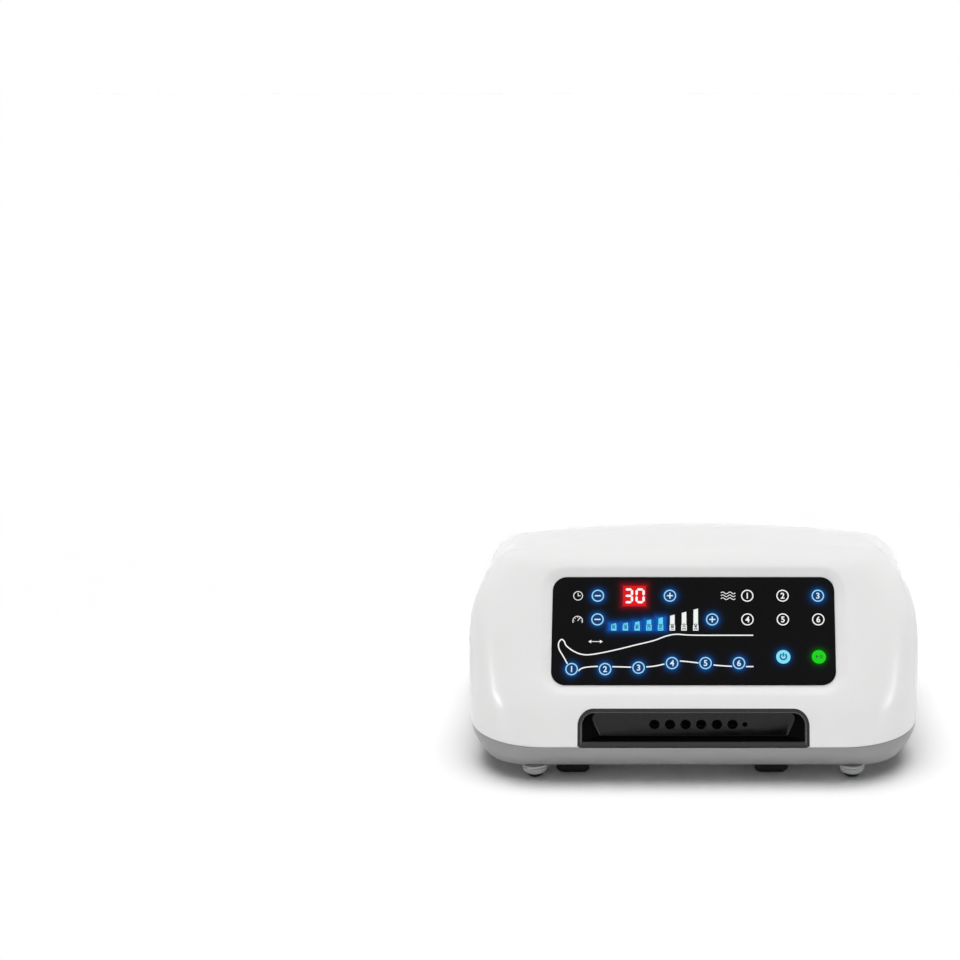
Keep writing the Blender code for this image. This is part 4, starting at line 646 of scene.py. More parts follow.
def make_base():
    bm = bmesh.new()
    loops = []
    for i in range(base_rows + 1):
        share = i / base_rows
        height = base_rim_z + (base_floor_z - base_rim_z) * share
        loops.append([Vector((x, y, height)) for x, y in base_plan(share)])
    inner_rim = [Vector((x, y, base_rim_z)) for x, y in base_plan(0.0, shell_wall)]
    inner_floor = [Vector((x, y, base_floor_z + shell_wall)) for x, y in base_plan(1.0, shell_wall)]
    loft(bm, [inner_floor, inner_rim] + loops)
    holes = bmesh.new()
    for x, y in screw_places:
        add_cylinder(holes, (x, y, 0.0), (x, y, base_floor_z + screw_sink), screw_sink_radius)
    for x, y in pad_places():
        add_cylinder(holes, (x, y, 0.0), (x, y, base_rim_z), pad_hole_radius)
    mesh = carve(mesh_of("grey_base", bm), mesh_of("base_holes", holes))
    add_piece("grey_base", smooth(mesh, 40.0), ["grey_shell"], stands_for=["base_shell"])


# Hose bay
bead_profile = ((0.0, -0.0016), (0.0, 0.0), (0.0001, 0.0002), (0.0005, bay_proud), (0.0012, bay_proud),
                (0.0018, 0.0002), (0.0023, 0.0), (0.0026, -0.0003), (0.0028, -0.0010))
side_profile = ((0.25, 0.25), (0.5, 0.5), (0.75, 0.75), (0.93, 0.93), (0.985, 0.975), (1.0, 1.0))


def bay_outline(lip):
    low = seam_z + seat_gap + lip * bay_floor_rise / bay_lip
    high = bay_top_z - lip
    radii = (bay_corner - lip, bay_corner - lip, bay_foot_corner, bay_foot_corner)
    return rounded_outline(bay_width - 2 * lip, high - low, radii, 20, (0.0, (high + low) / 2))


def make_bay():
    """A tub with a beaded lip that lies on the leaning front, drafted sides and a flat back."""
    loops = [[Vector((x, bay_rear_y, z)) for x, z in bay_outline(0.0)]]
    for lip, proud in bead_profile:
        loops.append([Vector((x, front_y_at(z) - proud, z)) for x, z in bay_outline(lip)])
    inner = bay_outline(bay_lip)
    low = min(z for x, z in inner)
    high = max(z for x, z in inner)
    floor_half = bay_width / 2 - bay_lip
    for depth_share, draft_share in side_profile:
        loop = []
        for x, z in inner:
            draft = bay_draft_low + (bay_draft_top - bay_draft_low) * (z - low) / (high - low)
            start_y = front_y_at(z) + bay_side_start
            loop.append(Vector((x * (floor_half - draft * draft_share) / floor_half,
                                start_y + (bay_back_y - start_y) * depth_share, z)))
        loops.append(loop)
    bm = bmesh.new()
    loft(bm, loops)
    holes = bmesh.new()
    outlets = [((i - (outlet_count - 1) / 2) * outlet_pitch, outlet_radius) for i in range(outlet_count)]
    for x, radius in outlets + [(locator_x, locator_radius)]:
        add_cylinder(holes, (x, bay_back_y - bay_lip, outlet_z), (x, bay_rear_y + bay_lip, outlet_z), radius)
    mesh = carve(mesh_of("bay_tub", bm), mesh_of("bay_holes", holes))
    # The tub is one black moulding: the back wall keeps its own black, the bead gets a lighter copy as a
    # painted sheen, a thin line along the bead a painted highlight, and the drafted sides and floor a darker
    # copy as a painted shade
    looks = ["bay_black", "bay_bead_painted_sheen", "bay_painted_shade", "bay_painted_highlight"]
    tub = add_piece("bay_tub", smooth(mesh, 35.0), looks, stands_for=["hose_bay"])
    for face in tub.data.polygons:
        look = "bay_bead_painted_sheen"
        if abs(face.center.y - bay_back_y) < bay_proud:
            look = "bay_black"
        # Sides and floor deep in the tub: painted shade
        elif face.center.y >= front_y_at(face.center.z) + bay_shade_start_depth:
            look = "bay_painted_shade"
        # Thin band along the bead: painted highlight
        elif bay_highlight_far < bay_reach(face.center) < bay_highlight_near:
            look = "bay_painted_highlight"
        face.material_index = looks.index(look)


# Key panel
def key_table():
    """Each key: its node, place across, place up, and whether its lamp is lit."""
    keys = [("key_time_minus", minus_x, upper_row, "lit"), ("key_time_plus", time_plus_x, upper_row, "lit"),
            ("key_pressure_minus", minus_x, lower_row, "lit"),
            ("key_pressure_plus", pressure_plus_x, lower_row, "lit")]
    for i in range(6):
        state = "lit" if i == 2 else "dark"
        keys.append((f"key_mode_{i + 1}", mode_first_x + (i % 3) * mode_pitch,
                     upper_row if i < 3 else lower_row, state))
    for i, row in enumerate(chamber_rows):
        keys.append((f"key_chamber_{i + 1}", chamber_first_x + i * chamber_pitch, row, "lit"))
    keys.append(("key_power", mode_first_x + mode_pitch, power_row, "power"))
    keys.append(("key_start", mode_first_x + 2 * mode_pitch, power_row, "start"))
    return keys


def bar_outline(index):
    """One bar of the pressure scale, with its slanted head."""
    x = bar_first_x + index * bar_pitch
    height = bar_short + (bar_tall - bar_short) * (index / (bar_count - 1)) ** bar_growth_power
    left, right = x - bar_width / 2, x + bar_width / 2
    return [(left, 0.0), (right, 0.0), (right, height), (left, height - bar_slant)]


def make_panel():
    bm = bmesh.new()
    loops = [flat_loop(rounded_outline(panel_width, panel_height, panel_radius), panel_back)]
    for step in range(panel_edge_steps + 1):
        angle = math.pi / 2 * step / panel_edge_steps
        inset = panel_edge * (1 - math.cos(angle))
        outline = rounded_outline(panel_width - 2 * inset, panel_height - 2 * inset, panel_radius - inset)
        loops.append(flat_loop(outline, panel_top - panel_edge + panel_edge * math.sin(angle)))
    loft(bm, loops)
    cuts = bmesh.new()
    below, above = panel_back - tray_depth, tray_depth
    for _, x, up, _ in key_table():
        add_cylinder(cuts, (x, up, below), (x, up, above), key_hole_radius)
    add_box(cuts, (display_x - display_width / 2, upper_row - display_height / 2, below),
            (display_x + display_width / 2, upper_row + display_height / 2, above))
    for i in range(bar_count):
        loft(cuts, [flat_loop(bar_outline(i), below), flat_loop(bar_outline(i), above)])
    mesh = carve(mesh_of("panel_plate", bm), mesh_of("panel_cuts", cuts))
    mesh.transform(panel_frame)
    add_piece("panel_plate", smooth(mesh, 30.0), ["panel_black"],
              stands_for=["control_panel"])


# Printed marks: flat strokes and plain numbers, drawn in the panel's own plane
def add_stroke(bm, points, width, slot=0, closed=False):
    """A flat ribbon along points, with mitred joints."""
    count = len(points)
    sides = []
    for i in range(count):
        before = points[i - 1] if i > 0 or closed else points[i]
        after = points[(i + 1) % count] if i < count - 1 or closed else points[i]
        along = (Vector(after) - Vector(before)).normalized()
        across = Vector((-along.y, along.x)) * width / 2
        here = Vector(points[i])
        sides.append([bm.verts.new((*(here + across), 0.0)), bm.verts.new((*(here - across), 0.0))])
    pairs = list(zip(sides, sides[1:]))
    if closed:
        pairs.append((sides[-1], sides[0]))
    for a, b in pairs:
        bm.faces.new((a[0], a[1], b[1], b[0])).material_index = slot


def circle_points(x, up, radius, start=0.0, end=360.0, steps=64):
    return [(x + radius * math.cos(math.radians(start + (end - start) * i / steps)),
             up + radius * math.sin(math.radians(start + (end - start) * i / steps)))
            for i in range(steps + 1)]


def add_ring(bm, x, up, outer, width):
    add_stroke(bm, circle_points(x, up, outer - width / 2)[:-1], width, closed=True)


def add_polygon(bm, points, slot=0):
    bm.faces.new([bm.verts.new((*point, 0.0)) for point in points]).material_index = slot


def add_rectangle(bm, left, low, right, high, slot=0):
    add_polygon(bm, [(left, low), (right, low), (right, high), (left, high)], slot)


def add_number(bm, text, x, up, height, weight, slot=0, turn=0.0):
    """A plain number as a flat mesh, centred on a place."""
    curve = bpy.data.curves.new("number", "FONT")
    curve.body = text
    curve.size = height / digit_share
    curve.align_x = "CENTER"
    curve.offset = weight
    curve.resolution_u = 6
    guide = bpy.data.objects.new("number", curve)
    bpy.context.scene.collection.objects.link(guide)
    bpy.context.view_layer.update()
    mesh = bpy.data.meshes.new_from_object(guide.evaluated_get(bpy.context.evaluated_depsgraph_get()))
    bpy.data.objects.remove(guide, do_unlink=True)
    low = min(v.co.y for v in mesh.vertices)
    high = max(v.co.y for v in mesh.vertices)
    left = min(v.co.x for v in mesh.vertices)
    right = max(v.co.x for v in mesh.vertices)
    centre = Matrix.Translation((-(left + right) / 2, -(low + high) / 2, 0.0))
    mesh.transform(Matrix.Translation((x, up, 0.0)) @ Matrix.Rotation(turn, 4, "Z") @ centre)
    first = len(bm.faces)
    bm.from_mesh(mesh)
    bm.faces.ensure_lookup_table()
    for face in bm.faces[first:]:
        face.material_index = slot
    bpy.data.meshes.remove(mesh)


def flat_mesh(name, bm, level):
    """A printed layer just above a level of the panel: every face looks out of it."""
    for face in bm.faces:
        face.normal_update()
        if face.normal.z < 0:
            face.normal_flip()
    lift = Matrix.Translation((0.0, 0.0, level + print_lift))
    bmesh.ops.transform(bm, matrix=panel_frame @ lift, verts=bm.verts)
    mesh = bpy.data.meshes.new(name)
    bm.to_mesh(mesh)
    bm.free()
    return mesh


def key_sign(bm, name, x, up):
    """The plain sign on a key: a minus, a plus, a number, or the power and start marks."""
    arm = key_radius * 0.46
    thick = key_radius * 0.19
    if name.endswith(("minus", "plus")):
        add_rectangle(bm, x - arm, up - thick / 2, x + arm, up + thick / 2, 1)
        if name.endswith("plus"):
            for side in (-1, 1):
                add_rectangle(bm, x - thick / 2, up + side * thick / 2, x + thick / 2, up + side * arm, 1)
    elif name == "key_power":
        thick *= 1.3
        add_stroke(bm, circle_points(x, up, arm, 125.0, 415.0, 40), thick, 1)
        add_rectangle(bm, x - thick / 2, up, x + thick / 2, up + arm * 1.25, 1)
    elif name == "key_start":
        half = arm * 0.62
        add_polygon(bm, [(x - arm, up - half), (x + arm * 0.05, up), (x - arm, up + half)], 1)
        for shift in (0.35, 0.85):
            left = x + arm * shift
            add_rectangle(bm, left, up - half, left + thick * 0.75, up + half, 1)
    else:
        add_number(bm, name[-1], x, up, key_radius * 0.92, number_weight, 1)


# A dark key's lamp is off; its white ring and sign show their own light all the same, a painted glow in place
# of lit white ink
key_looks = {"lit": ("key_blue", "lamp_ring", "lamp_sign"),
             "dark": ("key_dark", "print_painted_glow", "print_painted_glow"),
             "power": ("lamp_power", "lamp_power", "sign_on_power"),
             "start": ("lamp_start", "lamp_start", "sign_on_start")}


def make_keys():
    """Each key: a turned cap with a soft edge, and its printed ring and sign, which move with it."""
    low = panel_back - key_flange_drop
    wide = key_radius + key_flange_width
    profile = [(0.0, low), (wide, low), (wide, low + key_flange_thickness),
               (key_radius, low + key_flange_thickness), (key_radius, key_top - key_edge)]
    profile += arc((key_radius - key_edge, key_top - key_edge), key_edge, 0, 90, 4)[1:] + [(0.0, key_top)]
    for name, x, up, state in key_table():
        face, ring, sign = key_looks[state]
        bm = bmesh.new()
        lathe(bm, profile, Matrix.Translation((x, up, 0.0)))
        cap = smooth(mesh_of(name + "_cap", bm, panel_frame))
        add_piece(name + "_cap", cap, [face], name, [name])
        bm = bmesh.new()
        if state in ("lit", "dark"):
            add_ring(bm, x, up, key_radius - ring_edge, ring_width)
        key_sign(bm, name, x, up)
        add_piece(name + "_print", flat_mesh(name + "_print", bm, key_top), [ring, sign], name)


def smooth_route(points, steps=10):
    """Points on a smooth curve through a short list of places."""
    route = [Vector(point) for point in points]
    route = [2 * route[0] - route[1]] + route + [2 * route[-1] - route[-2]]
    path = []
    for a, b, c, d in zip(route, route[1:], route[2:], route[3:]):
        for step in range(steps):
            t = step / steps
            path.append(0.5 * (2 * b + (c - a) * t + (2 * a - 5 * b + 4 * c - d) * t ** 2
                               + (3 * b - a - 3 * c + d) * t ** 3))
    path.append(route[-2])
    return [(point.x, point.y) for point in path]


def gap_strokes(path, gaps):
    """Splits a path where it passes under a key, so that the ring stays clear."""
    runs = [[]]
    for point in path:
        hidden = any(math.hypot(point[0] - x, point[1] - up) < reach for x, up, reach in gaps)
        if hidden:
            if runs[-1]:
                runs.append([])
        else:
            runs[-1].append(point)
    return [run for run in runs if len(run) > 1]


outline_stroke = 0.00075
key_clearance = 0.0001
bar_number_up = 0.0024
bar_number_height = 0.0019
bar_number_weight = 0.00009
instep = ((-0.0757, -0.0205), (-0.0782, -0.0160), (-0.0808, -0.0115), (-0.0812, -0.0078),
          (-0.0796, -0.0055), (-0.0779, -0.0066), (-0.0765, -0.0094), (-0.0720, -0.0128),
          (-0.0665, -0.0148), (-0.0600, -0.0146), (-0.0480, -0.0122), (-0.0360, -0.0092),
          (-0.0240, -0.0062), (-0.0165, -0.0034), (-0.0105, -0.0023), (-0.0040, -0.0027),
          (0.0060, -0.0029), (0.0200, -0.0029), (0.0360, -0.0029))
sole = ((-0.0702, -0.0262), (-0.0668, -0.0232), (-0.0600, -0.0222), (-0.0530, -0.0222),
        (-0.0440, -0.0224), (-0.0330, -0.0226), (-0.0240, -0.0220), (-0.0160, -0.0203),
        (-0.0100, -0.0188), (0.0000, -0.0196), (0.0100, -0.0210), (0.0200, -0.0219),
        (0.0300, -0.0222), (0.0360, -0.0222))


def make_panel_print():
    """White marks of the panel: the leg's outline and plain pictograms beside the keys, which show their own
    light as a painted glow in place of lit white ink.
    """
    bm = bmesh.new()
    chambers = [(x, up, key_radius + key_clearance) for name, x, up, _ in key_table() if "chamber" in name]
    for route in (instep, sole):
        for run in gap_strokes(smooth_route(route), chambers):
            add_stroke(bm, run, outline_stroke)
    add_pictograms(bm)
    add_piece("panel_print", flat_mesh("panel_print", bm, panel_top), ["print_painted_glow"])
    bm = bmesh.new()
    for i in range(bar_count):
        add_number(bm, str((i + 1) * bar_step), bar_first_x + i * bar_pitch, bar_number_up, bar_number_height,
                   bar_number_weight, 0 if i < lit_bars else 1, math.pi / 2)
    add_piece("bar_numbers", flat_mesh("bar_numbers", bm, panel_top), ["ink_blue", "ink_black"])


def add_pictograms(bm):
    """A clock, a gauge, three waves and a small arrow, where a label would stand."""
    thin = 0.00042
    size = 0.0029
    clock_x, gauge_x, wave_x, arrow_x = -0.0700, -0.0700, 0.0210, -0.0590
    gauge_up = lower_row - size * 0.3
    arrow_up = -0.0068
    add_ring(bm, clock_x, upper_row, size, thin)
    add_stroke(bm, [(clock_x, upper_row + size * 0.62), (clock_x, upper_row)], thin)
    add_stroke(bm, [(clock_x - thin / 2, upper_row), (clock_x + size * 0.5, upper_row)], thin)
    add_stroke(bm, circle_points(gauge_x, gauge_up, size, -25.0, 205.0, 40), thin)
    add_stroke(bm, [(gauge_x, gauge_up), (gauge_x + size * 0.5, lower_row + size * 0.4)], thin)
    near, far = size * 0.66, size * 0.84
    for angle in range(0, 181, 45):
        across, rise = math.cos(math.radians(angle)), math.sin(math.radians(angle))
        add_stroke(bm, [(gauge_x + near * across, gauge_up + near * rise),
                        (gauge_x + far * across, gauge_up + far * rise)], thin * 0.7)
    for row in (-1, 0, 1):
        wave = [(wave_x + size * 1.5 * (i / 20 - 1),
                 upper_row + row * size * 0.62 + size * 0.2 * math.sin(math.tau * i / 20)) for i in range(41)]
        add_stroke(bm, wave, thin)
    add_stroke(bm, [(arrow_x - size * 1.3, arrow_up), (arrow_x + size * 1.3, arrow_up)], thin)
    for side in (-1, 1):
        tip = arrow_x + side * size * 1.5
        add_polygon(bm, [(tip, arrow_up), (tip - side * size * 0.6, arrow_up + size * 0.36),
                         (tip - side * size * 0.6, arrow_up - size * 0.36)])


segments_lit = {"3": "abgcd", "0": "abcdef"}


def add_digit(bm, digit, x, up):
    """A digit of seven segments, those that are lit."""
    right, top = digit_width / 2 - segment_width / 2, digit_height / 2 - segment_width / 2
    gap = segment_width * 0.12
    ends = {"a": ((-right, top), (right, top)), "g": ((-right, 0), (right, 0)),
            "d": ((-right, -top), (right, -top)), "b": ((right, 0), (right, top)),
            "c": ((right, -top), (right, 0)), "e": ((-right, -top), (-right, 0)),
            "f": ((-right, 0), (-right, top))}
    for key in segments_lit[digit]:
        start, end = [Vector((x + across, up + rise)) for across, rise in ends[key]]
        along = (end - start).normalized()
        across = Vector((-along.y, along.x)) * segment_width / 2
        start, end = start + along * gap, end - along * gap
        tip = along * segment_width / 2
        add_polygon(bm, [start, start + tip - across, end - tip - across, end, end - tip + across,
                         start + tip + across])


def make_display():
    bm = bmesh.new()
    for i, digit in enumerate("30"):
        add_digit(bm, digit, display_x + (i - 0.5) * digit_pitch, upper_row)
    add_piece("display_digits", flat_mesh("display_digits", bm, panel_top), ["digit_white"])


# Feet and soft pads
def make_feet():
    """Domed feet on a short collar, each with a dark rubber tip below."""
    top = base_floor_z - seat_gap
    shoulder = top - foot_rise * 1.35
    for name in foot_names:
        low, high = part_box(name)
        centre = (low + high) / 2
        dome = [(0.0, high.z), (foot_stem_radius, high.z), (foot_stem_radius, top),
                (foot_radius - foot_rise / 2, top)]
        dome += arc((foot_radius - foot_rise / 2, top - foot_rise / 2), foot_rise / 2, 90, 0, 4)[1:]
        dome += [(foot_radius - 0.0002, top - foot_rise), (foot_radius - 0.0005, top - foot_rise * 1.15),
                 (foot_radius, shoulder)]
        for step in range(1, 11):
            angle = math.pi / 2 * step / 10
            dome.append((foot_waist + (foot_radius - foot_waist) * math.cos(angle),
                         foot_tip_z + (shoulder - foot_tip_z) * (1 - math.sin(angle))))
        tip_row = len(dome) - 1
        dome += [(foot_tip_radius, foot_tip_z), (foot_tip_radius - 0.0003, foot_tip_z * 0.6),
                 (foot_tip_radius - 0.0011, foot_tip_z * 0.25), (foot_tip_radius - 0.0024, 0.0), (0.0, 0.0)]
        bm = bmesh.new()
        lathe(bm, dome, Matrix.Translation((centre.x, centre.y, 0.0)), slot_from=tip_row)
        add_piece(name + "_dome", smooth(mesh_of(name, bm), 40.0), ["clear_foot", "rubber_black"],
                  stands_for=[name])


def pad_places():
    low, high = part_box("pump_cradle")
    return [(x, y) for y in (low.y + pad_inset_y, high.y - pad_inset_y)
            for x in (low.x + pad_half_x, high.x - pad_half_x)]


def make_pads():
    """The soft cradle under the pump and its four pads, rounded towards the ground."""
    low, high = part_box("pump_cradle")
    plate_low = high.z - cradle_thickness
    levels = ((0.0, base_floor_z - seat_gap, 0.0015), (0.0, low.z + 0.0035, 0.0018),
              (0.0005, low.z + 0.0018, 0.0024), (0.0014, low.z + 0.0006, 0.0030), (0.0026, low.z, 0.0034))
    bm = bmesh.new()
    add_box(bm, (low.x, low.y, plate_low), high)
    for x, y in pad_places():
        loops = []
        for inset, height, radius in levels:
            outline = rounded_outline(2 * (pad_half_x - inset), 2 * (pad_half_y - inset), radius, 5, (x, y))
            loops.append(flat_loop(outline, height))
        loft(bm, loops)
        add_cylinder(bm, (x, y, base_floor_z - 0.001), (x, y, plate_low + 0.0005), pad_neck_radius)
    add_piece("soft_cradle", smooth(mesh_of("soft_cradle", bm), 40.0), ["rubber_black"],
              stands_for=["pump_cradle"])


# Rear side: shapes stand on the row at rear_row_z and face out of the back
def rear_prism(bm, outline, *levels):
    """A prism along the depth, its outline of (across, height) at each level."""
    loft(bm, [[Vector((x, y, z)) for x, z in outline] for y in levels])


def rear_slab(bm, centre, size, corner, tighten, back, face, edge, steps=10):
    """A slab with round corners and a soft edge round its face, where the corners tighten by a share."""
    loops = []
    for inset, y in ((0.0, back), (0.0, face - edge), (edge * 0.3, face - edge * 0.3), (edge, face)):
        outline = rounded_outline(size[0] - 2 * inset, size[1] - 2 * inset, corner - tighten * inset, steps,
                                  centre)
        loops.append([Vector((x, y, z)) for x, z in outline])
    loft(bm, loops)


def rear_box(bm, x, half, start_y, end_y):
    """A box centred on the row, half as wide and high as given."""
    add_box(bm, (x - half[0], start_y, rear_row_z - half[1]), (x + half[0], end_y, rear_row_z + half[1]))


def rear_lathe(bm, profile, x, y, facets=key_facets, slot_from=None):
    """A turned solid on the row, whose profile runs out of the back from a depth."""
    place = Matrix.Translation((x, y, rear_row_z)) @ Matrix.Rotation(-math.pi / 2, 4, "X")
    lathe(bm, profile, place, facets, slot_from)


def make_rear_plate():
    bm = bmesh.new()
    size = (2 * (pocket_half_width - seat_gap), pocket_high_z - pocket_low_z - 2 * seat_gap)
    rear_slab(bm, (0.0, (pocket_low_z + pocket_high_z) / 2), size, pocket_corner, 1.0, plate_back_y,
              plate_face_y, plate_edge)
    cuts = bmesh.new()
    for x, half in ((inlet_x, inlet_hole_half), (switch_x, switch_hole_half)):
        rear_box(cuts, x, half, plate_back_y - overrun, plate_face_y + overrun)
    for x, radius in ((fuse_x, fuse_hole_radius), (filter_x, filter_opening)):
        add_cylinder(cuts, (x, plate_back_y - overrun, rear_row_z),
                     (x, plate_face_y + overrun, rear_row_z), radius)
    for i in range(vent_count):
        x = vent_first_x + i * vent_pitch
        slot_outline = rounded_outline(vent_width, vent_height, vent_width / 2 * 0.98, 6, (x, rear_row_z))
        rear_prism(cuts, slot_outline, plate_back_y - overrun, plate_face_y + overrun)
    joined = bmesh.new()
    joined.from_mesh(carve(mesh_of("rear_panel", bm), mesh_of("rear_cuts", cuts)))
    cup = bmesh.new()
    rear_lathe(cup, filter_cup_profile, filter_x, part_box("rear_plate")[0].y)
    joined.from_mesh(mesh_of("filter_cup", cup))
    add_piece("rear_panel", smooth(mesh_of("rear_panel", joined), 35.0), ["grey_shell"],
              stands_for=["rear_plate"])


def make_inlet():
    """A two-pin inlet: a flange with round corners, a mouth with round ends, and two pins."""
    low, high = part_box("mains_inlet")
    face = high.y
    bm = bmesh.new()
    rear_slab(bm, (inlet_x, rear_row_z), inlet_size, inlet_corner, 0.5, face - inlet_flange, face, rear_edge)
    rear_box(bm, inlet_x, inlet_body_half, low.y + inlet_body_start, face - inlet_flange + overlap)
    mouth = bmesh.new()
    loops = []
    for y, grow in ((-0.0145, 0.0), (-0.0004, 0.0), (0.0001, 0.0008), (0.0020, 0.0008)):
        outline = rounded_outline(0.0168 + grow, 0.0082 + grow, 0.0035 + grow / 2, 12, (inlet_x, rear_row_z))
        loops.append([Vector((x, face + y, z)) for x, z in outline])
    loft(mouth, loops)
    joined = bmesh.new()
    joined.from_mesh(carve(mesh_of("inlet_body", bm), mesh_of("inlet_mouth", mouth)))
    for side in (-1, 1):
        pin_x = inlet_x + side * inlet_pin_x
        rear_lathe(joined, inlet_pin_profile, pin_x, face - inlet_pin_start, 24, slot_from=0)
    add_piece("inlet_socket", smooth(mesh_of("inlet_socket", joined), 35.0), ["black_plastic", "steel"],
              stands_for=["mains_inlet"])


def make_switch():
    """The switch's frame with its well."""
    low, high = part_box("switch_frame")
    face = high.y
    bm = bmesh.new()
    rear_slab(bm, (switch_x, rear_row_z), switch_size, switch_corner, 0.0, face - switch_flange, face,
              rear_edge, 6)
    rear_box(bm, switch_x, switch_body_half, low.y, face - switch_flange + overlap)
    well = bmesh.new()
    rear_box(well, switch_x, switch_well_half, low.y + switch_well_floor, face + overrun)
    mesh = carve(mesh_of("switch_bezel", bm), mesh_of("switch_well", well))
    add_piece("switch_bezel", smooth(mesh, 35.0), ["black_plastic"],
              stands_for=["switch_frame"])


def make_rocker():
    """The rocker, tipped to off, with a plain stroke and a plain ring as its on and off marks."""
    axis = next(joint for joint in frame["joints"] if joint["name"] == "rocker_tip")["pos_m"]
    place = Matrix.Translation(axis) @ Matrix.Rotation(rocker_tilt, 4, "X")
    top = plate_face_y + seat_gap + rocker_rise + rocker_dish - axis[1]

    def face_y(up):
        return top - rocker_dish * (1 - (up / rocker_half_z) ** 2) / 2

    steps = 24
    rows = []
    edge_steps = ((0.0, 1.0), (0.3, 0.3), (1.0, 0.0))
    for side, shares in ((-1, edge_steps), (1, edge_steps[::-1])):
        for share, inset_share in shares:
            inset = rocker_edge * inset_share
            x = side * (rocker_half_x - rocker_edge * share)
            outline = []
            for step in range(steps + 1):
                z = rocker_half_z - 2 * rocker_half_z * step / steps
                outline.append(Vector((x, face_y(z) - inset, z)))
            for z in (-rocker_half_z / 3, rocker_half_z / 3):
                outline.append(Vector((x, -rocker_depth + inset, z)))
            rows.append(outline)
    bm = bmesh.new()
    loft(bm, rows)
    add_piece("rocker_cap", smooth(mesh_of("rocker_cap", bm, place), 40.0), ["rocker_black"], "rocker",
              ["power_rocker"])
    up = rocker_half_z * 0.55
    across, reach = rocker_stroke_half
    loops = [[(-across, up - reach), (across, up - reach), (across, up + reach), (-across, up + reach)]]
    outer, inner = [circle_points(0.0, -up, radius, steps=28) for radius in rocker_ring_radii]
    loops += [list(corners) for corners in zip(outer, outer[1:], inner[1:], inner)]
    marks = bmesh.new()
    for loop in loops:
        marks.faces.new([marks.verts.new((x, face_y(z) + rocker_mark_lift, z)) for x, z in loop])
    add_piece("rocker_marks", mesh_of("rocker_marks", marks, place), ["print_white"], "rocker")


def make_fuse_holder():
    """A round cap with fine ribs and a slot for a screwdriver, on the fuse's body."""
    low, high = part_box("fuse_holder")
    face = plate_face_y + seat_gap
    start, rise = face - low.y, high.y - face
    bm = bmesh.new()
    profile = [(0.0, 0.0), (fuse_body_radius, 0.0), (fuse_body_radius, start)]
    profile += [(radius, start + rise * share) for radius, share in fuse_cap_profile]
    rear_lathe(bm, profile, fuse_x, low.y)
    slot_cut = bmesh.new()
    rear_box(slot_cut, fuse_x, fuse_slot_half, high.y - fuse_slot_depth, high.y + overrun)
    ribs = bmesh.new()
    for i in range(fuse_ribs):
        angle = math.tau * i / fuse_ribs
        x = fuse_x + fuse_rib_place * math.cos(angle)
        z = rear_row_z + fuse_rib_place * math.sin(angle)
        add_cylinder(ribs, (x, face - overlap, z), (x, face + rise * 0.36, z), fuse_rib_radius, 10)
    mesh = carve(mesh_of("fuse_cap", bm), mesh_of("fuse_slot", slot_cut), mesh_of("fuse_ribs", ribs))
    add_piece("fuse_cap", smooth(mesh, 35.0), ["black_plastic"],
              stands_for=["fuse_holder"])


def make_filter_cover():
    """A round lid with a soft edge and slots across it."""
    low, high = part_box("filter_cover")
    radius = (high.x - low.x) / 2
    rise = high.y - low.y
    profile = [(0.0, 0.0), (radius, 0.0), (radius, rise * 0.35)]
    profile += arc((radius - rise * 0.65, rise * 0.35), rise * 0.65, 0, 90, 8)[1:] + [(0.0, rise)]
    bm = bmesh.new()
    rear_lathe(bm, profile, filter_x, low.y, 96)
    cuts = bmesh.new()
    for i in range(filter_slot_count):
        up = (i - (filter_slot_count - 1) / 2) * filter_slot_pitch
        reach = math.sqrt(filter_opening ** 2 - up ** 2) - filter_slot_margin
        centre = (filter_x, rear_row_z + up)
        outline = rounded_outline(2 * reach, filter_slot_width, filter_slot_round, 6, centre)
        rear_prism(cuts, outline, low.y - overrun, high.y + overrun)
    mesh = carve(mesh_of("filter_lid", bm), mesh_of("filter_cuts", cuts))
    add_piece("filter_lid", smooth(mesh, 35.0), ["grey_shell"],
              stands_for=["filter_cover"])


# Materials
def new_group(name, inputs, outputs):
    """An empty shader node group with named inputs and outputs."""
    group = bpy.data.node_groups.new(name, "ShaderNodeTree")
    for label, kind, value in inputs:
        socket = group.interface.new_socket(label, in_out="INPUT", socket_type=kind)
        if value is not None:
            socket.default_value = value
    for label, kind in outputs:
        group.interface.new_socket(label, in_out="OUTPUT", socket_type=kind)
    return group, group.nodes.new("NodeGroupInput"), group.nodes.new("NodeGroupOutput")


def wire(tree, start, end):
    tree.links.new(start, end)


def set_inputs(node, values):
    for label, value in values.items():
        node.inputs[label].default_value = value


def object_place(tree):
    return tree.nodes.new("ShaderNodeTexCoord").outputs["Object"]


def add_noise(tree, place, values):
    """A noise pattern over the object, with its settings by name."""
    noise = tree.nodes.new("ShaderNodeTexNoise")
    wire(tree, place, noise.inputs["Vector"])
    set_inputs(noise, values)
    return noise


def math_node(tree, operation, first, second=None):
    """One calculation on sockets or numbers; second is left out where the operation takes one value."""
    node = tree.nodes.new("ShaderNodeMath")
    node.operation = operation
    for socket, value in zip(node.inputs, (first, second)):
        if isinstance(value, float):
            socket.default_value = value
        elif value is not None:
            wire(tree, value, socket)
    return node.outputs[0]


def mix_colours(tree, factor, first, second):
    node = tree.nodes.new("ShaderNodeMix")
    node.data_type = "RGBA"
    wire(tree, factor, node.inputs[0])
    for socket, value in ((node.inputs[6], first), (node.inputs[7], second)):
        if isinstance(value, tuple):
            socket.default_value = (*value, 1.0)
        else:
            wire(tree, value, socket)
    return node.outputs[2]


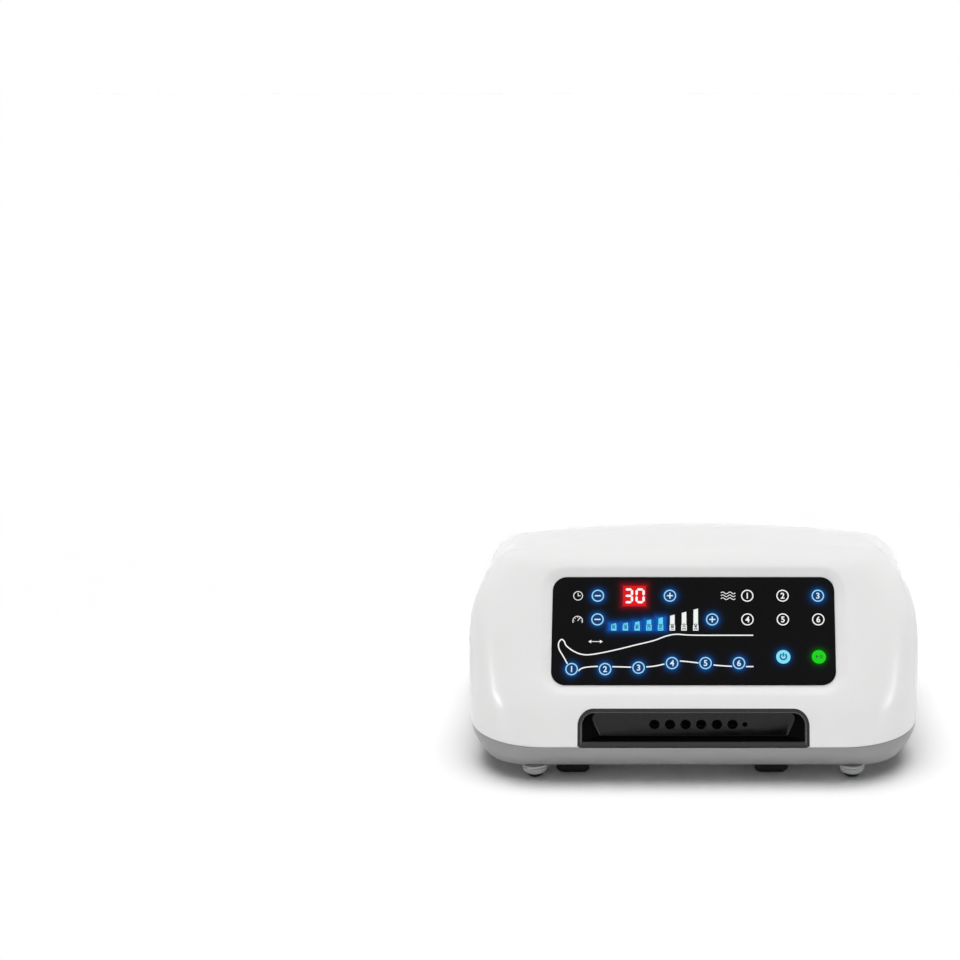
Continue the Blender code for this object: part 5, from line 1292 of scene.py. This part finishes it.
def surface_finish_group():
    """Moulded surface: a slow drift of tone, fine grain, and soft edges."""
    grey = (0.5, 0.5, 0.5, 1.0)
    group, given, result = new_group(
        "surface_finish",
        [("Colour", "NodeSocketColor", grey), ("Drift colour", "NodeSocketColor", grey),
         ("Drift scale", "NodeSocketFloat", 12.0), ("Roughness low", "NodeSocketFloat", 0.3),
         ("Roughness high", "NodeSocketFloat", 0.4), ("Grain scale", "NodeSocketFloat", 1800.0),
         ("Grain height", "NodeSocketFloat", 0.02), ("Edge radius", "NodeSocketFloat", 0.0003)],
        [("Colour", "NodeSocketColor"), ("Roughness", "NodeSocketFloat"), ("Normal", "NodeSocketVector")])
    values = given.outputs
    place = object_place(group)
    drift = add_noise(group, place, {"Detail": 3.0})
    wire(group, values["Drift scale"], drift.inputs["Scale"])
    smear = add_noise(group, place, {"Detail": 6.0, "Roughness": 0.65})
    wire(group, math_node(group, "MULTIPLY", values["Drift scale"], 7.0), smear.inputs["Scale"])
    grain = add_noise(group, place, {"Detail": 2.0})
    wire(group, values["Grain scale"], grain.inputs["Scale"])
    spread = group.nodes.new("ShaderNodeMapRange")
    set_inputs(spread, {"From Min": 0.35, "From Max": 0.65})
    wire(group, smear.outputs["Fac"], spread.inputs["Value"])
    wire(group, values["Roughness low"], spread.inputs["To Min"])
    wire(group, values["Roughness high"], spread.inputs["To Max"])
    edge = group.nodes.new("ShaderNodeBevel")
    edge.samples = 4
    wire(group, values["Edge radius"], edge.inputs["Radius"])
    bump = group.nodes.new("ShaderNodeBump")
    bump.inputs["Distance"].default_value = 0.0001
    wire(group, values["Grain height"], bump.inputs["Strength"])
    wire(group, grain.outputs["Fac"], bump.inputs["Height"])
    wire(group, edge.outputs["Normal"], bump.inputs["Normal"])
    colour = mix_colours(group, drift.outputs["Fac"], values["Colour"], values["Drift colour"])
    wire(group, colour, result.inputs["Colour"])
    wire(group, spread.outputs["Result"], result.inputs["Roughness"])
    wire(group, bump.outputs["Normal"], result.inputs["Normal"])
    return group


def panel_place_group():
    """Place on the key panel, across and up from its middle, in metres."""
    group, given, result = new_group("panel_place", [("Place", "NodeSocketVector", None)],
                                     [("Across", "NodeSocketFloat"), ("Up", "NodeSocketFloat")])
    shift = group.nodes.new("ShaderNodeVectorMath")
    shift.operation = "SUBTRACT"
    wire(group, given.outputs["Place"], shift.inputs[0])
    shift.inputs[1].default_value = panel_origin
    for label, direction in (("Across", Vector((1, 0, 0))), ("Up", panel_up)):
        along = group.nodes.new("ShaderNodeVectorMath")
        along.operation = "DOT_PRODUCT"
        wire(group, shift.outputs[0], along.inputs[0])
        along.inputs[1].default_value = direction
        wire(group, along.outputs["Value"], result.inputs[label])
    return group


def lamp_glow_group():
    """Soft glow round a lamp behind the panel: 1 at its rim, fading outwards to 0."""
    labels = ("Across", "Up", "Lamp across", "Lamp up", "Half width", "Half height", "Radius", "Reach")
    group, given, result = new_group("lamp_glow", [(label, "NodeSocketFloat", None) for label in labels],
                                     [("Mask", "NodeSocketFloat")])
    squares = []
    for label, half in (("Across", "Half width"), ("Up", "Half height")):
        offset = math_node(group, "SUBTRACT", given.outputs[label], given.outputs["Lamp " + label.lower()])
        beyond = math_node(group, "SUBTRACT", math_node(group, "ABSOLUTE", offset), given.outputs[half])
        beyond = math_node(group, "MAXIMUM", beyond, 0.0)
        squares.append(math_node(group, "MULTIPLY", beyond, beyond))
    distance = math_node(group, "SQRT", math_node(group, "ADD", *squares))
    beyond = math_node(group, "SUBTRACT", distance, given.outputs["Radius"])
    share = math_node(group, "DIVIDE", math_node(group, "MAXIMUM", beyond, 0.0), given.outputs["Reach"])
    fall = math_node(group, "EXPONENT", math_node(group, "MULTIPLY", share, -1.0))
    wire(group, fall, result.inputs["Mask"])
    return group


groups = {"surface_finish": surface_finish_group(), "panel_place": panel_place_group(),
          "lamp_glow": lamp_glow_group()}


def add_group(tree, name):
    node = tree.nodes.new("ShaderNodeGroup")
    node.node_tree = groups[name]
    node.label = name
    return node


def new_material(name):
    material = bpy.data.materials.new(name)
    material.use_nodes = True
    return material, material.node_tree, material.node_tree.nodes["Principled BSDF"]


# Each moulded look: colour, drift colour, roughness low and high, scale of the drift, scale and height
# of the grain, and edge radius
moulded_looks = {
    "white_gloss": ((0.80, 0.80, 0.795), (0.775, 0.778, 0.775), 0.20, 0.26, 9.0, 1500.0, 0.006, 0.0004),
    "grey_shell": ((0.275, 0.275, 0.280), (0.255, 0.255, 0.262), 0.34, 0.44, 14.0, 2600.0, 0.05, 0.0004),
    "panel_black": ((0.003, 0.0031, 0.0034), (0.004, 0.004, 0.0044), 0.16, 0.22, 9.0, 900.0, 0.015, 0.0002),
    "key_dark": ((0.003, 0.0031, 0.0034), (0.004, 0.004, 0.0044), 0.16, 0.22, 120.0, 1500.0, 0.01, 0.0001),
    # The hose bay is one black moulding whose own colour is on the back wall; the next three rows are copies
    # of that black: lighter on the bead as a painted sheen, lighter still on a thin line as a painted
    # highlight, and darker on the sides and floor as a painted shade
    "bay_black": ((0.0035, 0.0035, 0.0037), (0.0045, 0.0045, 0.0047), 0.20, 0.28, 18.0, 1800.0, 0.02, 0.0003),
    "bay_bead_painted_sheen": ((0.022, 0.022, 0.023), (0.026, 0.026, 0.027), 0.20, 0.28, 18.0, 1800.0, 0.02, 0.0003),
    "bay_painted_highlight": ((0.070, 0.070, 0.072), (0.080, 0.080, 0.082), 0.20, 0.28, 18.0, 1800.0, 0.02, 0.0003),
    "bay_painted_shade": ((0.0008, 0.0008, 0.0008), (0.001, 0.001, 0.001), 0.55, 0.65, 18.0, 1800.0, 0.02, 0.0003),
    "clear_foot": ((0.76, 0.77, 0.78), (0.66, 0.67, 0.69), 0.08, 0.16, 90.0, 900.0, 0.01, 0.0003),
    "rubber_black": ((0.003, 0.003, 0.003), (0.004, 0.004, 0.004), 0.62, 0.78, 60.0, 2200.0, 0.12, 0.0003),
    "black_plastic": ((0.016, 0.016, 0.017), (0.021, 0.021, 0.022), 0.36, 0.46, 25.0, 2600.0, 0.05, 0.0002),
    "rocker_black": ((0.013, 0.013, 0.014), (0.017, 0.017, 0.018), 0.16, 0.22, 30.0, 1800.0, 0.01, 0.0002),
    "print_white": ((0.74, 0.75, 0.77), (0.66, 0.67, 0.70), 0.45, 0.60, 220.0, 2000.0, 0.01, 0.00005),
    "ink_black": ((0.02, 0.02, 0.025), (0.03, 0.03, 0.035), 0.5, 0.6, 200.0, 2000.0, 0.01, 0.00005),
    "ink_blue": ((0.005, 0.03, 0.10), (0.008, 0.04, 0.12), 0.5, 0.6, 200.0, 2000.0, 0.01, 0.00005),
    "sign_on_power": ((0.02, 0.10, 0.22), (0.03, 0.12, 0.25), 0.4, 0.5, 200.0, 2000.0, 0.01, 0.00005),
    "sign_on_start": ((0.0, 0.10, 0.01), (0.0, 0.13, 0.015), 0.4, 0.5, 200.0, 2000.0, 0.01, 0.00005),
    "steel": ((0.60, 0.60, 0.61), (0.52, 0.52, 0.54), 0.24, 0.42, 40.0, 3000.0, 0.05, 0.0002),
    "alloy": ((0.55, 0.56, 0.58), (0.48, 0.49, 0.51), 0.40, 0.55, 30.0, 2400.0, 0.25, 0.0003),
    "copper": ((0.62, 0.27, 0.11), (0.50, 0.20, 0.08), 0.26, 0.44, 160.0, 3600.0, 0.4, 0.0002),
    "ivory_plastic": ((0.70, 0.67, 0.57), (0.66, 0.63, 0.53), 0.38, 0.50, 20.0, 2400.0, 0.05, 0.0003),
    "board_green": ((0.02, 0.14, 0.06), (0.03, 0.19, 0.08), 0.30, 0.48, 60.0, 1600.0, 0.06, 0.0002),
    "silicone": ((0.60, 0.62, 0.60), (0.54, 0.56, 0.55), 0.40, 0.55, 30.0, 2000.0, 0.06, 0.0003),
    "ribbon_grey": ((0.30, 0.30, 0.32), (0.24, 0.24, 0.26), 0.5, 0.65, 80.0, 1800.0, 0.2, 0.0003),
    "foam": ((0.07, 0.07, 0.07), (0.03, 0.03, 0.03), 0.85, 0.98, 420.0, 1400.0, 0.9, 0.0001),
}

# What a moulded look sets on its shader beyond the shared finish
shader_values = {
    "white_gloss": {"Specular IOR Level": 0.15},
    "panel_black": {"Specular IOR Level": 0.05},
    "key_dark": {"Specular IOR Level": 0.05},
    "bay_black": {"Specular IOR Level": 0.32},
    "bay_bead_painted_sheen": {"Specular IOR Level": 0.25},
    "bay_painted_highlight": {"Specular IOR Level": 0.25},
    "bay_painted_shade": {"Specular IOR Level": 0.02},
    "rubber_black": {"Specular IOR Level": 0.15},
    "foam": {"Specular IOR Level": 0.2},
    "clear_foot": {"Transmission Weight": 0.55, "IOR": 1.46},
    "steel": {"Metallic": 1.0},
    "alloy": {"Metallic": 1.0},
    "copper": {"Metallic": 1.0},
    "board_green": {"Coat Weight": 0.3, "Coat Roughness": 0.05},
}

# Each lit look: the colour and strength of its light; the white print has no lamp, and its light is a painted
# glow in place of lit white ink
lamp_looks = {
    "key_blue": ((0.001, 0.040, 0.18), 1.0),
    "lamp_ring": ((0.36, 0.76, 1.0), 1.0),
    "lamp_sign": ((0.62, 0.88, 1.0), 1.0),
    "lamp_power": ((0.22, 0.80, 0.98), 1.0),
    "lamp_start": ((0.004, 0.68, 0.004), 1.0),
    "print_painted_glow": ((0.97, 0.97, 0.97), 1.0),
    "digit_white": ((1.0, 0.93, 0.93), 1.1),
    "display_red": ((0.74, 0.003, 0.004), 1.0),
}
lit_base = (0.003, 0.003, 0.003, 1.0)
spill_none = (0.0, 0.0, 0.0)
spill_blue = (0.0, 0.055, 0.22)
spill_green = (0.0, 0.10, 0.0)
spill_bars = (0.0, 0.095, 0.44)
spill_red = (0.25, 0.0, 0.01)


def moulded(name):
    """A material with the shared finish, set up from its row of values."""
    colour, drift_colour, low, high, drift_scale, grain_scale, grain_height, edge_radius = moulded_looks[name]
    material, tree, shader = new_material(name)
    finish = add_group(tree, "surface_finish")
    set_inputs(finish, {"Colour": (*colour, 1.0), "Drift colour": (*drift_colour, 1.0),
                        "Drift scale": drift_scale, "Roughness low": low, "Roughness high": high,
                        "Grain scale": grain_scale, "Grain height": grain_height, "Edge radius": edge_radius})
    wire(tree, finish.outputs["Colour"], shader.inputs["Base Color"])
    wire(tree, finish.outputs["Roughness"], shader.inputs["Roughness"])
    wire(tree, finish.outputs["Normal"], shader.inputs["Normal"])
    set_inputs(shader, shader_values.get(name, {}))
    return material


def light_up(tree, shader, colour, strength):
    """Makes a shader show its own light over a nearly black base."""
    wire(tree, colour, shader.inputs["Emission Color"])
    set_inputs(shader, {"Emission Strength": strength, "Base Color": lit_base, "Roughness": 0.3,
                        "Specular IOR Level": 0.1})


def lamp(name):
    """A lit print: its own light varies a little over its area, as behind a light guide; on the white print,
    which has no lamp, this light is a painted glow.
    """
    colour, strength = lamp_looks[name]
    material, tree, shader = new_material(name)
    spots = add_noise(tree, object_place(tree), {"Scale": 260.0, "Detail": 1.0})
    dim = tuple(channel * 0.9 for channel in colour)
    light_up(tree, shader, mix_colours(tree, spots.outputs["Fac"], dim, colour), strength)
    return material


def panel_black_material():
    """Black panel with the blue and green spill of lit keys and bars, and the red spill of the readout."""
    material = moulded("panel_black")
    tree = material.node_tree
    shader = tree.nodes["Principled BSDF"]
    place = add_group(tree, "panel_place")
    wire(tree, object_place(tree), place.inputs["Place"])

    def glow(x, up, half_x, half_up, radius, reach):
        node = add_group(tree, "lamp_glow")
        wire(tree, place.outputs["Across"], node.inputs["Across"])
        wire(tree, place.outputs["Up"], node.inputs["Up"])
        set_inputs(node, {"Lamp across": x, "Lamp up": up, "Half width": half_x, "Half height": half_up,
                          "Radius": radius, "Reach": reach})
        return node.outputs["Mask"]

    def key_glows(*wanted):
        return [glow(x, up, 0.0, 0.0, key_radius, key_glow_reach) for _, x, up, state in key_table()
                if state in wanted]

    bar_glows = []
    for i in range(lit_bars):
        half = bar_outline(i)[2][1] / 2
        bar_glows.append(glow(bar_first_x + i * bar_pitch, half, bar_pitch * 0.41, half - bar_glow_reach / 3,
                              0.0, bar_glow_reach))
    display_glow = glow(display_x, upper_row, display_width / 2, display_height / 2, 0.0, key_glow_reach)
    spill = spill_none
    for glows, colour in ((key_glows("lit", "power"), spill_blue), (key_glows("start"), spill_green),
                          (bar_glows, spill_bars), ([display_glow], spill_red)):
        widest = glows[0]
        for mask in glows[1:]:
            widest = math_node(tree, "MAXIMUM", widest, mask)
        spill = mix_colours(tree, widest, spill, colour)
    wire(tree, spill, shader.inputs["Emission Color"])
    shader.inputs["Emission Strength"].default_value = 1.0
    return material


def bars_material():
    """The moulded bar strip: lit blue on the left, and on the right unlit white bars that show their own
    light too, a painted glow in place of lit white plastic.
    """
    material, tree, shader = new_material("bar_light")
    coordinates = object_place(tree)
    place = add_group(tree, "panel_place")
    wire(tree, coordinates, place.inputs["Place"])
    border = bar_first_x + (lit_bars - 0.5) * bar_pitch
    white = math_node(tree, "GREATER_THAN", place.outputs["Across"], border)
    spots = add_noise(tree, coordinates, {"Scale": 180.0}).outputs["Fac"]
    blue = mix_colours(tree, spots, (0.10, 0.60, 0.92), (0.14, 0.70, 1.0))
    # Unlit bars: white with their own light, a painted glow
    plain = mix_colours(tree, spots, (0.84, 0.86, 0.86), (0.92, 0.94, 0.94))
    light_up(tree, shader, mix_colours(tree, white, blue, plain), 1.0)
    return material


def set_up_materials():
    """Every material of the pump, by name."""
    made = {name: moulded(name) for name in moulded_looks if name != "panel_black"}
    made.update({name: lamp(name) for name in lamp_looks})
    made.update({"panel_black": panel_black_material(), "bar_light": bars_material()})
    return made


inner_finishes = {
    "steel": ["screw_front_left", "screw_front_right", "screw_rear_left", "screw_rear_right",
              "distributor_motor", "transformer"],
    "alloy": ["pump_case", "pump_lid"],
    "ivory_plastic": ["pump_head_left", "pump_head_right", "armature", "distributor_body", "distributor_lid"],
    "black_plastic": ["outlet_block", "distributor_rotor"],
    "rubber_black": ["outlet_seal"],
    "board_green": ["display_board", "main_board"],
    "copper": ["stator_front", "stator_rear"],
    "silicone": ["hose_loom", "supply_hose", "intake_hose"],
    "ribbon_grey": ["ribbon_cable"],
    "foam": ["air_filter"],
    "display_red": ["time_display"],
    "bar_light": ["pressure_bars"],
}


def dress_packed_pieces():
    """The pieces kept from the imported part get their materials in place."""
    for finish, names in inner_finishes.items():
        for name in names:
            piece = bpy.data.objects[name]
            piece.data.materials.clear()
            piece.data.materials.append(materials[finish])


# Room: floor, lights, camera
floor_reach = 12.0
floor_colour = (0.96, 0.96, 0.96)


def floor_material():
    """A plain backdrop surface with a faint, slow drift of tone."""
    material, tree, shader = new_material("floor")
    drift = add_noise(tree, object_place(tree), {"Scale": 1.5})
    darker = tuple(channel * 0.985 for channel in floor_colour)
    wire(tree, mix_colours(tree, drift.outputs["Fac"], floor_colour, darker), shader.inputs["Base Color"])
    shader.inputs["Roughness"].default_value = 0.75
    return material


def make_floor():
    bm = bmesh.new()
    bmesh.ops.create_grid(bm, x_segments=1, y_segments=1, size=floor_reach)
    mesh = bpy.data.meshes.new("floor")
    bm.to_mesh(mesh)
    bm.free()
    floor = bpy.data.objects.new("floor", mesh)
    bpy.context.scene.collection.objects.link(floor)
    mesh.materials.append(floor_material())


def make_lights():
    """A low strip light on each side, which shows only as a reflection."""
    for name, place in strip_places.items():
        light = bpy.data.lights.new(name, "AREA")
        light.shape = "RECTANGLE"
        light.size, light.size_y = strip_size
        light.energy = strip_power
        holder = bpy.data.objects.new(name, light)
        bpy.context.scene.collection.objects.link(holder)
        holder.location = place
        holder.rotation_euler = (Vector(strip_aim) - Vector(place)).to_track_quat("-Z", "Y").to_euler()
        holder.visible_diffuse = False


def sky_zone(tree, value, zone, low, high):
    """A smooth step between two strengths of the surroundings."""
    step = tree.nodes.new("ShaderNodeMapRange")
    step.interpolation_type = "SMOOTHSTEP"
    wire(tree, value, step.inputs["Value"])
    set_inputs(step, {"From Min": zone[0], "From Max": zone[1], "To Min": low, "To Max": high})
    return step.outputs["Result"]


def make_world():
    """White surroundings: a low band, brighter at the sides, and a soft patch overhead as the key light."""
    world = bpy.data.worlds.new("studio")
    bpy.context.scene.world = world
    world.use_nodes = True
    tree = world.node_tree
    background = tree.nodes["Background"]
    background.inputs["Color"].default_value = (1.0, 1.0, 1.0, 1.0)
    direction = tree.nodes.new("ShaderNodeTexCoord").outputs["Generated"]
    parts = tree.nodes.new("ShaderNodeSeparateXYZ")
    wire(tree, direction, parts.inputs[0])
    facing = tree.nodes.new("ShaderNodeVectorMath")
    facing.operation = "DOT_PRODUCT"
    wire(tree, direction, facing.inputs[0])
    facing.inputs[1].default_value = Vector(key_direction).normalized()
    sideways = math_node(tree, "MULTIPLY", parts.outputs["X"], parts.outputs["X"])
    round_strength = sky_zone(tree, sideways, side_zone, front_strength, side_strength)
    low_share = sky_zone(tree, parts.outputs["Z"], low_zone, 1.0, 0.0)
    front_share = sky_zone(tree, parts.outputs["Y"], back_zone, 1.0, back_share)
    band = math_node(tree, "MULTIPLY", math_node(tree, "MULTIPLY", low_share, front_share), round_strength)
    low_band = math_node(tree, "ADD", band, high_strength)
    key_patch = sky_zone(tree, facing.outputs["Value"], key_zone, 0.0, key_strength)
    lighting = math_node(tree, "ADD", low_band, key_patch)
    path = tree.nodes.new("ShaderNodeLightPath")
    seen = math_node(tree, "MAXIMUM", path.outputs["Is Camera Ray"], path.outputs["Is Glossy Ray"])
    seen = math_node(tree, "MAXIMUM", seen, path.outputs["Is Transmission Ray"])
    shown = tree.nodes.new("ShaderNodeMix")
    wire(tree, seen, shown.inputs[0])
    wire(tree, lighting, shown.inputs[2])
    shown.inputs[3].default_value = 1.0
    wire(tree, shown.outputs[0], background.inputs["Strength"])


def make_camera():
    camera = bpy.data.cameras.new("camera")
    camera.sensor_width = sensor_width
    camera.lens = focal_pixels / image_size * sensor_width
    camera.shift_x = -(target_column / image_size - 0.5)
    camera.shift_y = target_row / image_size - 0.5
    holder = bpy.data.objects.new("camera", camera)
    bpy.context.scene.collection.objects.link(holder)
    holder.location = target + Vector((0.0, -camera_distance * math.cos(camera_elevation),
                                       camera_distance * math.sin(camera_elevation)))
    holder.rotation_euler = (math.pi / 2 - camera_elevation, 0.0, 0.0)
    bpy.context.scene.camera = holder
    bpy.context.scene.view_settings.view_transform = "Standard"


materials = set_up_materials()
make_shell()
make_base()
make_bay()
make_panel()
make_keys()
make_panel_print()
make_display()
make_feet()
make_pads()
make_rear_plate()
make_inlet()
make_switch()
make_rocker()
make_fuse_holder()
make_filter_cover()
dress_packed_pieces()
make_floor()
make_lights()
make_world()
make_camera()
